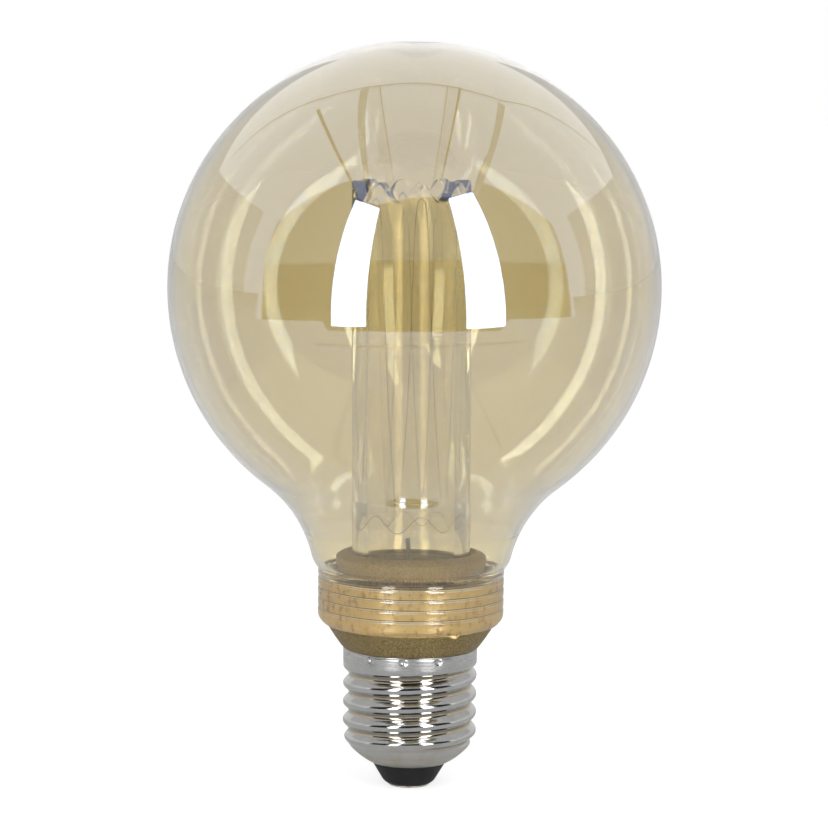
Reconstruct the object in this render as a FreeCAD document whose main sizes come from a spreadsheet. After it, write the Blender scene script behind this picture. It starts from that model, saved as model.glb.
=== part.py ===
import FreeCAD, Part
import math
import os
import Sketcher
from FreeCAD import Placement, Rotation, Vector

# Globe bulb with an amber glass envelope, a screw cap of 27 mm and a clear
# light guide tube that stands in a collar. Millimetres, +Z up, bulb upright.
# The origin is on the axis, at the face of the centre contact.

SIZES = (
    # cap
    ("cap_length", 27.5, "contact face to the top of the skirt"),
    ("cap_wall", 0.35, "sheet of the screw shell"),
    ("skirt_radius", 13.05, "outside of the skirt"),
    ("skirt_length", 3.4, "plain skirt above the thread"),
    ("thread_crest_radius", 13.03, "outside of the thread"),
    ("thread_root_radius", 11.95, "bottom of the thread groove"),
    ("thread_pitch", 3.629, "seven turns to the inch"),
    ("thread_turns", 4.3, "turns of the groove"),
    ("thread_land", 0.4, "flat left on the crest"),
    ("bowl_top_height", 10.4, "where the bowl of the shell meets the thread"),
    ("bowl_corner_radius", 12.45, "corner between bowl and thread"),
    ("bowl_corner_height", 8.95, "corner between bowl and thread"),
    ("bowl_edge_radius", 11.6, "where the swell of the bowl ends"),
    ("bowl_edge_height", 7.95, "where the swell of the bowl ends"),
    ("bowl_arc_radius", 14.0, "swell of the bowl"),
    ("rim_radius", 7.65, "outside of the shell's lower rim"),
    ("rim_height", 4.45, "height of the shell's lower rim"),
    ("punch_count", 12, "punch marks that hold the shell on the housing"),
    ("punch_radius", 0.9, "ball of a punch mark"),
    ("punch_depth", 0.25, "depth of a punch mark"),
    ("punch_drop", 1.0, "from the top of the skirt"),
    ("punch_turn", 25.0, "first mark, degrees from the front"),
    # insulator and contact
    ("insulator_top_height", 7.7, "inner top of the insulator"),
    ("insulator_cone_radius", 5.5, "where the cone ends"),
    ("insulator_cone_height", 1.5, "where the cone ends"),
    ("insulator_round_radius", 2.6, "rounding below the cone"),
    ("insulator_face_radius", 4.15, "flat at the bottom"),
    ("contact_radius", 4.0, "disc of the centre contact"),
    ("contact_thickness", 0.4, "disc of the centre contact"),
    ("contact_shank_radius", 1.1, "rivet shank"),
    ("contact_shank_length", 7.0, "rivet shank"),
    ("contact_bore_radius", 0.35, "hole that grips the lead"),
    ("contact_clearance", 0.05, "shank in the insulator"),
    # housing
    ("brim_rise", 4.6, "top of the brim above the cap"),
    ("brim_inset", 1.9, "brim within the outside of the neck"),
    ("brim_edge", 0.2, "straight edge of the brim"),
    ("foot_radius", 13.55, "cone just above the foot's chamfer"),
    ("foot_chamfer", 0.45, "chamfer of the foot"),
    ("cone_arc_radius", 40.0, "hollow sweep of the housing's cone"),
    ("housing_wall", 1.6, "wall of the housing"),
    ("plug_length", 14.5, "part of the housing inside the cap"),
    ("plug_clearance", 0.12, "between plug and shell"),
    ("plug_bore_radius", 9.9, "hole down the plug"),
    ("spigot_length", 11.05, "part of the housing inside the neck"),
    ("spigot_wall", 1.9, "wall of the spigot, outside the seat of the heat sink"),
    ("spigot_rib_depth", 0.55, "glue grooves round the spigot"),
    ("spigot_foot_length", 1.0, "below the lowest rib, where the glue runs out"),
    ("ledge_drop", 8.95, "ledge below the top of the spigot"),
    ("ledge_width", 1.4, "ledge that carries the heat sink"),
    ("film_gap", 0.3, "glue between the ribs and the glass"),
    # glass envelope
    ("globe_radius", 47.5, "outside of the globe"),
    ("globe_rise", 6.8, "from the neck to the globe's lowest point, were it whole"),
    ("glass_wall", 1.2, "glass of the globe"),
    ("flare_radius", 25.3, "hollow sweep from globe to neck"),
    ("shoulder_radius", 5.7, "swell above the neck"),
    ("shoulder_angle", 43.0, "degrees below level where the swell ends"),
    ("neck_radius", 18.1, "outside of the neck"),
    ("neck_length", 10.8, "straight neck"),
    ("neck_wall", 1.5, "glass of the neck"),
    ("neck_gap", 0.2, "neck above the brim"),
    ("neck_edge_width", 1.1, "rounded lower edge of the neck"),
    ("neck_edge_height", 1.6, "rounded lower edge of the neck"),
    ("neck_bend_width", 0.4, "bend half way round the lower edge"),
    ("neck_bend_height", 0.7, "bend half way round the lower edge"),
    ("rib_pitch", 2.02, "grooves round the neck"),
    ("rib_count", 4, "grooves round the neck"),
    ("rib_start", 1.55, "first groove below the top of the neck"),
    ("rib_width", 0.75, "width of a groove"),
    ("rib_depth", 0.2, "depth of a groove"),
    ("dimple_depth", 2.3, "recess in the crown"),
    ("dimple_radius", 8.0, "ball of the recess"),
    ("dimple_rim_radius", 2.0, "rounding round the recess"),
    # light engine
    ("heat_sink_height", 6.4, "drawn aluminium cup"),
    ("heat_sink_wall", 1.2, "drawn aluminium cup"),
    ("heat_sink_clearance", 0.05, "between heat sink and housing"),
    ("sink_hole_margin", 0.3, "lead holes wider than those of the board"),
    ("board_thickness", 1.0, "round circuit board"),
    ("chip_count", 12, "light emitting chips"),
    ("chip_length", 2.8, "along the radius"),
    ("chip_width", 3.5, "across the radius"),
    ("chip_height", 0.65, "above the board"),
    ("light_gap", 0.2, "tube above the chips"),
    # collar and centre ring
    ("collar_foot_wall", 1.25, "foot round the board"),
    ("board_clearance", 0.1, "between board and collar"),
    ("collar_height", 5.2, "crest above the board"),
    ("collar_waist_wall", 1.75, "waist under the lip"),
    ("collar_waist_height", 1.9, "bottom of the waist above the board"),
    ("collar_hollow_height", 2.4, "top of the waist above the board"),
    ("collar_lip_overhang", 0.2, "lip wider than the spigot's bore"),
    ("collar_lip_bottom", 3.2, "underside of the lip above the board"),
    ("collar_lip_edge", 4.1, "edge where the rounded top starts"),
    ("collar_top_radius", 3.3, "rounding of the lip's top"),
    ("collar_crest_wall", 0.85, "from the groove to the highest line of the lip"),
    ("collar_inner_chamfer", 0.4, "from the crest into the groove"),
    ("ring_wall", 1.15, "centre ring"),
    ("ring_height", 4.6, "centre ring above the board"),
    ("ring_step_width", 0.45, "step inside the centre ring"),
    ("ring_step_height", 3.7, "step inside the centre ring"),
    # tube
    ("tube_inset", 1.5, "outside of the light guide within the edge of the board"),
    ("tube_wall", 3.0, "wall of the light guide"),
    ("tube_clearance", 0.15, "tube in its groove"),
    ("tube_length", 75.45, "foot to the tips of the scallops"),
    ("scallop_count", 8, "scallops round the rim"),
    ("scallop_depth", 3.9, "tip to hollow"),
    ("scallop_turn", 12.2, "first tip, degrees from the front"),
    # driver
    ("driver_width", 18.4, "circuit board of the driver"),
    ("driver_length", 20.4, "circuit board of the driver"),
    ("driver_thickness", 1.0, "circuit board of the driver"),
    ("driver_offset", 2.0, "front face behind the axis"),
    ("driver_lift", 0.5, "foot above the plug's lower end"),
    ("capacitor_radius", 4.0, "electrolytic capacitor"),
    ("capacitor_length", 10.5, "electrolytic capacitor"),
    ("capacitor_groove", 0.25, "bead round the can"),
    ("component_gap", 0.2, "between neighbours on the driver board"),
    ("choke_radius", 3.4, "flanges of the drum core"),
    ("choke_length", 6.0, "drum core"),
    ("choke_flange", 0.9, "flange of the drum core"),
    ("choke_waist", 1.5, "middle of the drum core"),
    ("choke_winding", 3.0, "outside of the winding"),
    ("film_capacitor_length", 6.5, "box capacitor"),
    ("film_capacitor_width", 3.0, "box capacitor"),
    ("film_capacitor_height", 5.0, "box capacitor"),
    ("bridge_length", 4.9, "bridge rectifier"),
    ("bridge_width", 4.0, "bridge rectifier"),
    ("bridge_height", 2.0, "bridge rectifier"),
    ("driver_chip_length", 4.9, "driver chip"),
    ("driver_chip_width", 3.9, "driver chip"),
    ("driver_chip_height", 1.5, "driver chip"),
    ("resistor_count", 4, "chip resistors"),
    ("resistor_length", 2.0, "chip resistor"),
    ("resistor_width", 1.25, "chip resistor"),
    ("resistor_height", 0.5, "chip resistor"),
    ("resistor_pitch", 2.3, "chip resistors in a row"),
    ("fuse_radius", 1.3, "fuse resistor on the contact lead"),
    ("fuse_waist", 1.1, "fuse resistor between its end caps"),
    ("fuse_length", 5.5, "fuse resistor on the contact lead"),
    # leads
    ("lead_radius", 0.3, "bare lead"),
    ("feed_radius", 0.45, "sleeved feed lead"),
    ("lead_hole_clearance", 0.1, "lead in its hole"),
    ("lead_bend", 1.5, "bend of a lead, in radii of the lead"),
    ("lead_end_gap", 0.1, "end of a lead short of the bottom of its hole"),
    ("feed_straight_rise", 2.0, "straight run of the feed lead above the board"),
    ("feed_kink_rise", 5.2, "kink of the feed lead above the board"),
    ("feed_kink_lean", 0.5, "sideways lean at the kink"),
    ("feed_stub_rise", 8.6, "free end of the feed lead above the board"),
    ("feed_stub_lean", 0.75, "sideways lean of the free end"),
    ("return_offset", 2.4, "hole of the return lead from the axis"),
    ("return_reach", 2.4, "bent end of the return lead along the board"),
    ("return_gap", 0.06, "bent end of the return lead above the board"),
    ("solder_radius", 0.9, "solder joint"),
    ("feed_solder_height", 0.6, "joint round the feed lead"),
    ("return_solder_height", 0.85, "joint over the end of the return lead"),
    ("slot_width", 0.8, "slot down the plug for the shell lead"),
    ("slot_length", 6.0, "slot down the plug for the shell lead"),
)

LEFT = 1
RIGHT = -1


class Size:
    """A number with the sheet expression that gives it."""

    def __init__(self, value, text):
        self.value = value
        self.text = text

    def __add__(self, other):
        return joined(self, "+", other, self.value + plain(other))

    def __radd__(self, other):
        return joined(other, "+", self, plain(other) + self.value)

    def __sub__(self, other):
        return joined(self, "-", other, self.value - plain(other))

    def __rsub__(self, other):
        return joined(other, "-", self, plain(other) - self.value)

    def __mul__(self, other):
        return joined(self, "*", other, self.value * plain(other))

    def __rmul__(self, other):
        return joined(other, "*", self, plain(other) * self.value)

    def __truediv__(self, other):
        return joined(self, "/", other, self.value / plain(other))

    def __neg__(self):
        return Size(-self.value, f"(-{self.text})")


def plain(item):
    return item.value if isinstance(item, Size) else item


def text_of(item):
    return item.text if isinstance(item, Size) else repr(float(item))


def joined(first, sign, second, value):
    return Size(value, f"({text_of(first)} {sign} {text_of(second)})")


def root(item):
    return Size(math.sqrt(item.value), f"sqrt({item.text})")


def cosine(degrees):
    return Size(math.cos(math.radians(plain(degrees))), f"cos({text_of(degrees)})")


def sine(degrees):
    return Size(math.sin(math.radians(plain(degrees))), f"sin({text_of(degrees)})")


class Sheet:
    """The driving sizes: a sheet cell for each, read back as Size values."""

    def __init__(self, document, rows):
        self.cells = document.addObject("Spreadsheet::Sheet", "Sizes")
        self.values = {}
        for row, (name, value, note) in enumerate(rows, 1):
            self.cells.set(f"A{row}", name)
            self.cells.set(f"B{row}", str(value))
            self.cells.set(f"C{row}", note)
            self.cells.setAlias(f"B{row}", name)
            self.values[name] = value

    def __getattr__(self, name):
        return Size(self.values[name], f"Sizes.{name}")

    def count(self, name):
        return int(self.values[name])


doc = FreeCAD.newDocument("globe_bulb")
S = Sheet(doc, SIZES)
doc.recompute()
nodes = []

# heights above the contact face, each piece on the one that carries it
skirt_top = S.cap_length
brim_top = skirt_top + S.brim_rise
neck_bottom = brim_top + S.neck_gap
neck_top = neck_bottom + S.neck_length
globe_centre = neck_top + S.globe_rise + S.globe_radius
spigot_top = brim_top + S.spigot_length
ledge_top = spigot_top - S.ledge_drop
heat_sink_top = ledge_top + S.heat_sink_height
board_top = heat_sink_top + S.board_thickness
tube_bottom = board_top + S.chip_height + S.light_gap
plug_bottom = skirt_top - S.plug_length
thread_top = skirt_top - S.skirt_length

# radii, each piece within the one that holds it
thread_bore = S.thread_root_radius - S.cap_wall
skirt_bore = S.skirt_radius - S.cap_wall
neck_bore = S.neck_radius - S.neck_wall
neck_flat = S.neck_radius - S.neck_edge_width
brim_radius = S.neck_radius - S.brim_inset
rib_crest = neck_bore - S.film_gap
rib_floor = rib_crest - S.spigot_rib_depth
spigot_bore = rib_crest - S.spigot_wall
engine_radius = spigot_bore - S.heat_sink_clearance
board_radius = engine_radius - S.collar_foot_wall - S.board_clearance
tube_radius = board_radius - S.tube_inset
tube_bore = tube_radius - S.tube_wall
chip_circle = tube_radius - S.tube_wall / 2


# outlines and bodies
def new_body(label):
    body = doc.addObject("PartDesign::Body", label)
    body.Label = label
    return body


def origin_item(body, role):
    return next(item for item in body.Origin.OriginFeatures if item.Role == role)


def new_sketch(body, name, plane="XZ_Plane"):
    sketch = body.newObject("Sketcher::SketchObject", name)
    sketch.AttachmentSupport = [(origin_item(body, plane), "")]
    sketch.MapMode = "FlatFace"
    return sketch


def bind(sketch, kind, *parts):
    """Add a constraint whose value is the last part, a Size or a number."""
    *where, size = parts
    number = sketch.addConstraint(Sketcher.Constraint(kind, *where, plain(size)))
    if isinstance(size, Size):
        sketch.setExpression(f"Constraints[{number}]", size.text)


def pin(sketch, corner, across, up):
    """Hold a corner, given as (curve, end), at its two coordinates."""
    if plain(across) == 0:
        sketch.addConstraint(Sketcher.Constraint("PointOnObject", *corner, -2))
    else:
        bind(sketch, "DistanceX", -1, 1, *corner, across)
    if plain(up) == 0:
        sketch.addConstraint(Sketcher.Constraint("PointOnObject", *corner, -1))
    else:
        bind(sketch, "DistanceY", -1, 1, *corner, up)


def arc_middle(start, end, radius, turn):
    """Point half way along the shorter arc that turns left or right."""
    chord = end - start
    half = chord.Length / 2
    rise = radius - math.sqrt(max(radius**2 - half**2, 0))
    right = Vector(chord.y, -chord.x, 0).normalize()
    return (start + end) / 2 + right * (rise * turn)


def draw(sketch, corners):
    """Draw a closed outline of (across, up) corners.

    A corner of (across, up, radius, turn) is reached by an arc.
    """
    points = [Vector(plain(c[0]), plain(c[1]), 0) for c in corners]
    ends = []
    for index, start in enumerate(points):
        after = (index + 1) % len(points)
        end = points[after]
        if len(corners[after]) == 2:
            curve = sketch.addGeometry(Part.LineSegment(start, end))
            ends.append(((curve, 1), (curve, 2)))
            continue
        radius, turn = corners[after][2:]
        middle = arc_middle(start, end, plain(radius), turn)
        if turn == LEFT:
            curve = sketch.addGeometry(Part.Arc(start, middle, end))
            ends.append(((curve, 1), (curve, 2)))
        else:
            curve = sketch.addGeometry(Part.Arc(end, middle, start))
            ends.append(((curve, 2), (curve, 1)))
        bind(sketch, "Radius", curve, radius)
    for index, (first, last) in enumerate(ends):
        following = ends[(index + 1) % len(ends)][0]
        sketch.addConstraint(Sketcher.Constraint("Coincident", *last, *following))
        pin(sketch, first, *corners[index][:2])


def revolve(body, sketch):
    turned = body.newObject("PartDesign::Revolution", f"{body.Label}_turned")
    turned.Profile = sketch
    turned.ReferenceAxis = (sketch, ["V_Axis"])
    turned.Angle = 360
    sketch.Visibility = False
    return turned


def turned_body(label, corners):
    """A body turned from its half outline of (radius, height) corners."""
    body = new_body(label)
    sketch = new_sketch(body, f"{label}_outline")
    draw(sketch, corners)
    revolve(body, sketch)
    return body


def around(body, feature, count):
    """Repeat a feature round the vertical axis."""
    pattern = body.newObject("PartDesign::PolarPattern", f"{feature.Name}_pattern")
    pattern.Originals = [feature]
    pattern.Axis = (origin_item(body, "Z_Axis"), [""])
    pattern.Angle = 360
    pattern.Occurrences = count
    body.Tip = pattern
    return pattern


def keep(item):
    nodes.append(item)
    return item


def touching_centre(centre_a, reach_a, centre_b, reach_b):
    """Centre at two given distances from two centres, on the outer side."""
    across = centre_b[0] - centre_a[0]
    up = centre_b[1] - centre_a[1]
    gap = root(across * across + up * up)
    along = (reach_a * reach_a - reach_b * reach_b + gap * gap) / (2 * gap)
    aside = root(reach_a * reach_a - along * along)
    side = 1 if up.value < 0 else -1
    return (
        centre_a[0] + (across * along - up * aside * side) / gap,
        centre_a[1] + (up * along + across * aside * side) / gap,
    )


def towards(centre, other, reach, distance):
    """Point at a distance from a centre, on the line to another point."""
    return (
        centre[0] + (other[0] - centre[0]) * distance / reach,
        centre[1] + (other[1] - centre[1]) * distance / reach,
    )


# glass envelope
def envelope_side(inset):
    """Corners from the crown to the top of the neck, set in by a wall."""
    globe = (0.0 * S.globe_radius, globe_centre)
    dimple_floor = globe_centre + S.globe_radius - S.dimple_depth
    dimple = (0.0 * S.dimple_radius, dimple_floor + S.dimple_radius)
    shoulder = (
        S.neck_radius - S.shoulder_radius * cosine(S.shoulder_angle),
        neck_top + S.shoulder_radius * sine(S.shoulder_angle),
    )
    rim_reach = S.globe_radius - S.dimple_rim_radius
    rim_to_dimple = S.dimple_radius + S.dimple_rim_radius
    rim = touching_centre(dimple, rim_to_dimple, globe, rim_reach)
    flare_to_globe = S.globe_radius + S.flare_radius
    flare_to_shoulder = S.shoulder_radius + S.flare_radius
    flare = touching_centre(globe, flare_to_globe, shoulder, flare_to_shoulder)
    globe_size = S.globe_radius - inset
    dimple_size = S.dimple_radius + inset
    rim_size = S.dimple_rim_radius - inset
    shoulder_size = S.shoulder_radius - inset
    flare_size = S.flare_radius + inset
    rim_start = towards(dimple, rim, rim_to_dimple, dimple_size)
    rim_end = towards(globe, rim, rim_reach, globe_size)
    flare_start = towards(globe, flare, flare_to_globe, globe_size)
    flare_end = towards(shoulder, flare, flare_to_shoulder, shoulder_size)
    neck_meet = (
        shoulder[0] + shoulder_size * cosine(S.shoulder_angle),
        shoulder[1] - shoulder_size * sine(S.shoulder_angle),
    )
    return [
        (0, dimple_floor - inset),
        (*rim_start, dimple_size, LEFT),
        (*rim_end, rim_size, RIGHT),
        (*flare_start, globe_size, RIGHT),
        (*flare_end, flare_size, LEFT),
        (*neck_meet, shoulder_size, RIGHT),
    ]


def reversed_side(corners):
    """The same corners walked the other way, arcs included."""
    back = [corners[-1][:2]]
    for index in range(len(corners) - 1, 0, -1):
        _, _, radius, turn = corners[index]
        back.append((*corners[index - 1][:2], radius, -turn))
    return back


def neck_grooves():
    half = S.rib_width / 2
    corners = []
    for index in range(S.count("rib_count")):
        centre = neck_top - S.rib_start - index * S.rib_pitch
        corners.append((S.neck_radius, centre + half))
        corners.append((S.neck_radius - S.rib_depth, centre))
        corners.append((S.neck_radius, centre - half))
    return corners


def globe_envelope():
    corners = envelope_side(0.0 * S.glass_wall) + neck_grooves()
    corners.append((S.neck_radius, neck_bottom + S.neck_edge_height))
    corners.append((S.neck_radius - S.neck_bend_width, neck_bottom + S.neck_bend_height))
    corners.append((neck_flat, neck_bottom))
    corners.append((neck_bore, neck_bottom))
    corners.append((neck_bore, neck_top))
    corners += reversed_side(envelope_side(S.glass_wall))
    return turned_body("globe_envelope", corners)


# housing, its glue and the pieces that it holds
def spigot_ribs():
    """Corners down the ribbed outside of the spigot, ribs behind the glass's."""
    half = S.spigot_rib_depth
    corners = []
    for index in range(S.count("rib_count")):
        centre = neck_top - S.rib_start - index * S.rib_pitch
        corners.append((rib_crest, centre + half))
        corners.append((rib_floor, centre))
        corners.append((rib_crest, centre - half))
    return corners


spigot_chamfer = S.spigot_rib_depth
rib_foot = brim_top + S.spigot_foot_length


def housing_outside():
    """Corners from the spigot's top down to the foot on the cap."""
    return [
        (spigot_bore, spigot_top),
        (rib_crest - spigot_chamfer, spigot_top),
        (rib_crest, spigot_top - spigot_chamfer),
        *spigot_ribs(),
        (rib_crest, rib_foot),
        (rib_floor, rib_foot - S.spigot_rib_depth),
        (rib_floor, brim_top),
        (brim_radius, brim_top),
        (brim_radius, brim_top - S.brim_edge),
        (S.foot_radius, skirt_top + S.foot_chamfer, S.cone_arc_radius, RIGHT),
        (S.foot_radius - S.foot_chamfer, skirt_top),
    ]


def base_housing():
    plug_radius = thread_bore - S.plug_clearance
    neck_in = skirt_bore - S.plug_clearance
    corners = housing_outside() + [
        (neck_in, skirt_top),
        (neck_in, thread_top + S.cap_wall),
        (plug_radius, thread_top + S.cap_wall - (neck_in - plug_radius)),
        (plug_radius, plug_bottom),
        (S.plug_bore_radius, plug_bottom),
        (S.plug_bore_radius, skirt_top - S.housing_wall),
        (spigot_bore - S.ledge_width, ledge_top - S.ledge_width),
        (spigot_bore - S.ledge_width, ledge_top),
        (spigot_bore, ledge_top),
    ]
    body = turned_body("base_housing", corners)
    sketch = new_sketch(body, "lead_slot_outline", "XY_Plane")
    sketch.AttachmentOffset = Placement(Vector(0, 0, plug_bottom.value), Rotation())
    sketch.setExpression("AttachmentOffset.Base.z", plug_bottom.text)
    slot_floor = plug_radius - 2 * S.lead_radius
    half = S.slot_width / 2
    draw(sketch, [
        (slot_floor, -half),
        (S.skirt_radius, -half),
        (S.skirt_radius, half),
        (slot_floor, half),
    ])
    slot = body.newObject("PartDesign::Pocket", "lead_slot")
    slot.Profile = sketch
    slot.setExpression("Length", S.slot_length.text)
    slot.Reversed = True
    return body


def neck_adhesive():
    """Glue in the grooves of the spigot, with the bead squeezed out below."""
    glue_top = spigot_top - spigot_chamfer
    corners = [(rib_crest, glue_top)]
    corners += spigot_ribs()
    corners += [
        (rib_crest, rib_foot),
        (rib_floor, rib_foot - S.spigot_rib_depth),
        (rib_floor, brim_top),
        (brim_radius, brim_top),
        (neck_flat, neck_bottom),
        (neck_bore, neck_bottom),
        (neck_bore, glue_top),
    ]
    return turned_body("neck_adhesive", corners)


def heat_sink():
    """Drawn cup, upside down, with a hole for each lead."""
    inside = engine_radius - S.heat_sink_wall
    under = heat_sink_top - S.heat_sink_wall
    corners = [
        (0, under),
        (inside, under),
        (inside, ledge_top),
        (engine_radius, ledge_top),
        (engine_radius, heat_sink_top - S.heat_sink_wall / 2),
        (engine_radius - S.heat_sink_wall / 2, heat_sink_top),
        (0, heat_sink_top),
    ]
    body = turned_body("heat_sink", corners)
    lead_holes(body, under, S.heat_sink_wall, S.sink_hole_margin)
    return body


feed_hole = S.feed_radius + S.lead_hole_clearance
return_hole = S.lead_radius + S.lead_hole_clearance


def lead_holes(body, under, thickness, extra):
    """Two holes right through a disc, for the feed and the return lead."""
    sketch = new_sketch(body, f"{body.Label}_holes", "XY_Plane")
    sketch.AttachmentOffset = Placement(Vector(0, 0, under.value), Rotation())
    sketch.setExpression("AttachmentOffset.Base.z", under.text)
    for centre, radius in ((0, feed_hole), (S.return_offset, return_hole)):
        size = radius + extra
        middle = Vector(plain(centre), 0, 0)
        circle = sketch.addGeometry(Part.Circle(middle, Vector(0, 0, 1), plain(size)))
        bind(sketch, "Radius", circle, size)
        pin(sketch, (circle, 3), centre, 0)
    holes = body.newObject("PartDesign::Pocket", f"{body.Label}_lead_holes")
    holes.Profile = sketch
    holes.setExpression("Length", thickness.text)
    holes.Reversed = True
    return holes


def led_board():
    corners = [
        (0, heat_sink_top),
        (board_radius, heat_sink_top),
        (board_radius, board_top),
        (0, board_top),
    ]
    body = turned_body("led_board", corners)
    lead_holes(body, heat_sink_top, S.board_thickness, 0)
    return body


def led_chips():
    body = new_body("led_chips")
    sketch = new_sketch(body, "chip_outline", "XY_Plane")
    sketch.AttachmentOffset = Placement(Vector(0, 0, board_top.value), Rotation())
    sketch.setExpression("AttachmentOffset.Base.z", board_top.text)
    near = chip_circle - S.chip_length / 2
    far = chip_circle + S.chip_length / 2
    half = S.chip_width / 2
    draw(sketch, [(near, -half), (far, -half), (far, half), (near, half)])
    chip = body.newObject("PartDesign::Pad", "chip")
    chip.Profile = sketch
    chip.setExpression("Length", S.chip_height.text)
    around(body, chip, S.count("chip_count"))
    return body


def light_guide_collar():
    foot_inside = board_radius + S.board_clearance
    bore = tube_radius + S.tube_clearance
    crest = board_top + S.collar_height
    waist = bore + S.collar_waist_wall
    lip = spigot_bore + S.collar_lip_overhang
    corners = [
        (foot_inside, heat_sink_top),
        (engine_radius - S.heat_sink_wall / 2, heat_sink_top),
        (engine_radius, heat_sink_top + S.heat_sink_wall / 2),
        (engine_radius, spigot_top),
        (waist, board_top + S.collar_waist_height),
        (waist, board_top + S.collar_hollow_height),
        (lip, board_top + S.collar_lip_bottom),
        (lip, board_top + S.collar_lip_edge),
        (bore + S.collar_crest_wall, crest, S.collar_top_radius, LEFT),
        (bore, crest - S.collar_inner_chamfer),
        (bore, board_top),
        (foot_inside, board_top),
    ]
    return turned_body("light_guide_collar", corners)


def centre_ring():
    outside = tube_bore - S.tube_clearance
    inside = outside - S.ring_wall
    top = board_top + S.ring_height
    corners = [
        (inside, board_top),
        (outside, board_top),
        (outside, top - S.ring_step_width / 2),
        (outside - S.ring_step_width / 2, top),
        (inside + S.ring_step_width, top),
        (inside + S.ring_step_width, board_top + S.ring_step_height),
        (inside, board_top + S.ring_step_height),
    ]
    return turned_body("centre_ring", corners)


# light guide tube
def light_guide_tube():
    """Tube whose rim is cut square to the axis in even waves."""
    top = tube_bottom + S.tube_length
    blank = turned_body("light_guide_blank", [
        (tube_bore, tube_bottom),
        (tube_radius, tube_bottom),
        (tube_radius, top),
        (tube_bore, top),
    ])
    waves = S.count("scallop_count")
    steps_per_wave = 4
    middle = plain(top - S.scallop_depth / 2)
    swing = plain(S.scallop_depth) / 2
    first_tip = math.radians(plain(S.scallop_turn) - 90)

    def wave(radius):
        points = []
        for step in range(waves * steps_per_wave):
            angle = 2 * math.pi * step / (waves * steps_per_wave)
            height = middle + swing * math.cos(waves * (angle - first_tip))
            points.append(Vector(radius * math.cos(angle), radius * math.sin(angle), height))
        curve = Part.BSplineCurve()
        curve.interpolate(points, PeriodicFlag=True)
        return curve.toShape()

    past_wall = 1.0
    inner = wave(plain(tube_bore) - past_wall)
    outer = wave(plain(tube_radius) + past_wall)
    rim = Part.makeRuledSurface(inner, outer)
    cutter = doc.addObject("Part::Feature", "scallop_cutter")
    cutter.Shape = rim.extrude(Vector(0, 0, 2 * plain(S.scallop_depth)))
    tube = doc.addObject("Part::Cut", "light_guide_tube")
    tube.Base = blank
    tube.Tool = cutter
    return tube


# cap
wall_slant = S.cap_wall * 0.75
inner_rim = (S.rim_radius - wall_slant, S.rim_height + wall_slant)
inner_bowl_edge = (S.bowl_edge_radius - wall_slant, S.bowl_edge_height + wall_slant)


def cap_shell():
    """Screw shell: skirt, helical thread and the bowl that holds the insulator."""
    wall = S.cap_wall
    corners = [
        (S.rim_radius, S.rim_height),
        (S.bowl_edge_radius, S.bowl_edge_height, S.bowl_arc_radius, LEFT),
        (S.bowl_corner_radius, S.bowl_corner_height),
        (S.thread_crest_radius, S.bowl_top_height),
        (S.thread_crest_radius, thread_top),
        (S.skirt_radius, thread_top + wall),
        (S.skirt_radius, skirt_top),
        (skirt_bore, skirt_top),
        (skirt_bore, thread_top + wall),
        (thread_bore, thread_top + wall - (skirt_bore - thread_bore)),
        (thread_bore, S.bowl_top_height - wall),
        inner_bowl_edge,
        inner_rim,
        (S.rim_radius - wall, S.rim_height),
    ]
    body = turned_body("cap_shell", corners)
    cut_thread(body)
    punch_marks(body)
    return body


# half outline of the thread's groove: share of its depth, share of its half width
GROOVE_SHAPE = ((0.0, 0.2), (0.25, 0.48), (0.75, 0.76), (1.25, 1.08))


def cut_thread(body):
    """Groove of the thread, its rounded section drawn with seven flats."""
    centre = thread_top - S.thread_pitch * S.thread_turns - S.thread_pitch / 4
    half = (S.thread_pitch - S.thread_land) / 2
    depth = S.thread_crest_radius - S.thread_root_radius
    side = [(S.thread_root_radius + depth * out, half * up) for out, up in GROOVE_SHAPE]
    sketch = new_sketch(body, "thread_section")
    lower = [(radius, centre - rise) for radius, rise in reversed(side)]
    upper = [(radius, centre + rise) for radius, rise in side]
    draw(sketch, lower + upper)
    groove = body.newObject("PartDesign::SubtractiveHelix", "thread")
    groove.Profile = sketch
    groove.ReferenceAxis = (sketch, ["V_Axis"])
    groove.Mode = 1
    groove.setExpression("Pitch", S.thread_pitch.text)
    groove.setExpression("Turns", S.thread_turns.text)
    groove.LeftHanded = False
    groove.Reversed = False
    return groove


def punch_marks(body):
    """Round marks near the skirt's top where the shell is punched to the housing."""
    reach = S.skirt_radius + S.punch_radius - S.punch_depth
    mark = body.newObject("PartDesign::SubtractiveSphere", "punch_mark")
    mark.AttachmentSupport = [(origin_item(body, "XY_Plane"), "")]
    mark.MapMode = "FlatFace"
    mark.setExpression("Radius", S.punch_radius.text)
    places = {
        "AttachmentOffset.Base.x": reach * sine(S.punch_turn),
        "AttachmentOffset.Base.y": -(reach * cosine(S.punch_turn)),
        "AttachmentOffset.Base.z": skirt_top - S.punch_drop,
    }
    for name, size in places.items():
        mark.setExpression(name, size.text)
    around(body, mark, S.count("punch_count"))


def cap_insulator():
    bore = S.contact_shank_radius + S.contact_clearance
    face = S.contact_thickness
    slope = (inner_bowl_edge[0] - inner_rim[0]) / (inner_bowl_edge[1] - inner_rim[1])
    top_radius = inner_rim[0] + (S.insulator_top_height - inner_rim[1]) * slope
    corners = [
        (bore, face),
        (S.insulator_face_radius, face),
        (
            S.insulator_cone_radius,
            S.insulator_cone_height,
            S.insulator_round_radius,
            LEFT,
        ),
        (S.rim_radius - S.cap_wall, S.rim_height),
        inner_rim,
        (top_radius, S.insulator_top_height),
        (bore + S.cap_wall, S.insulator_top_height),
        (bore, S.insulator_top_height - S.cap_wall),
    ]
    return turned_body("cap_insulator", corners)


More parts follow.
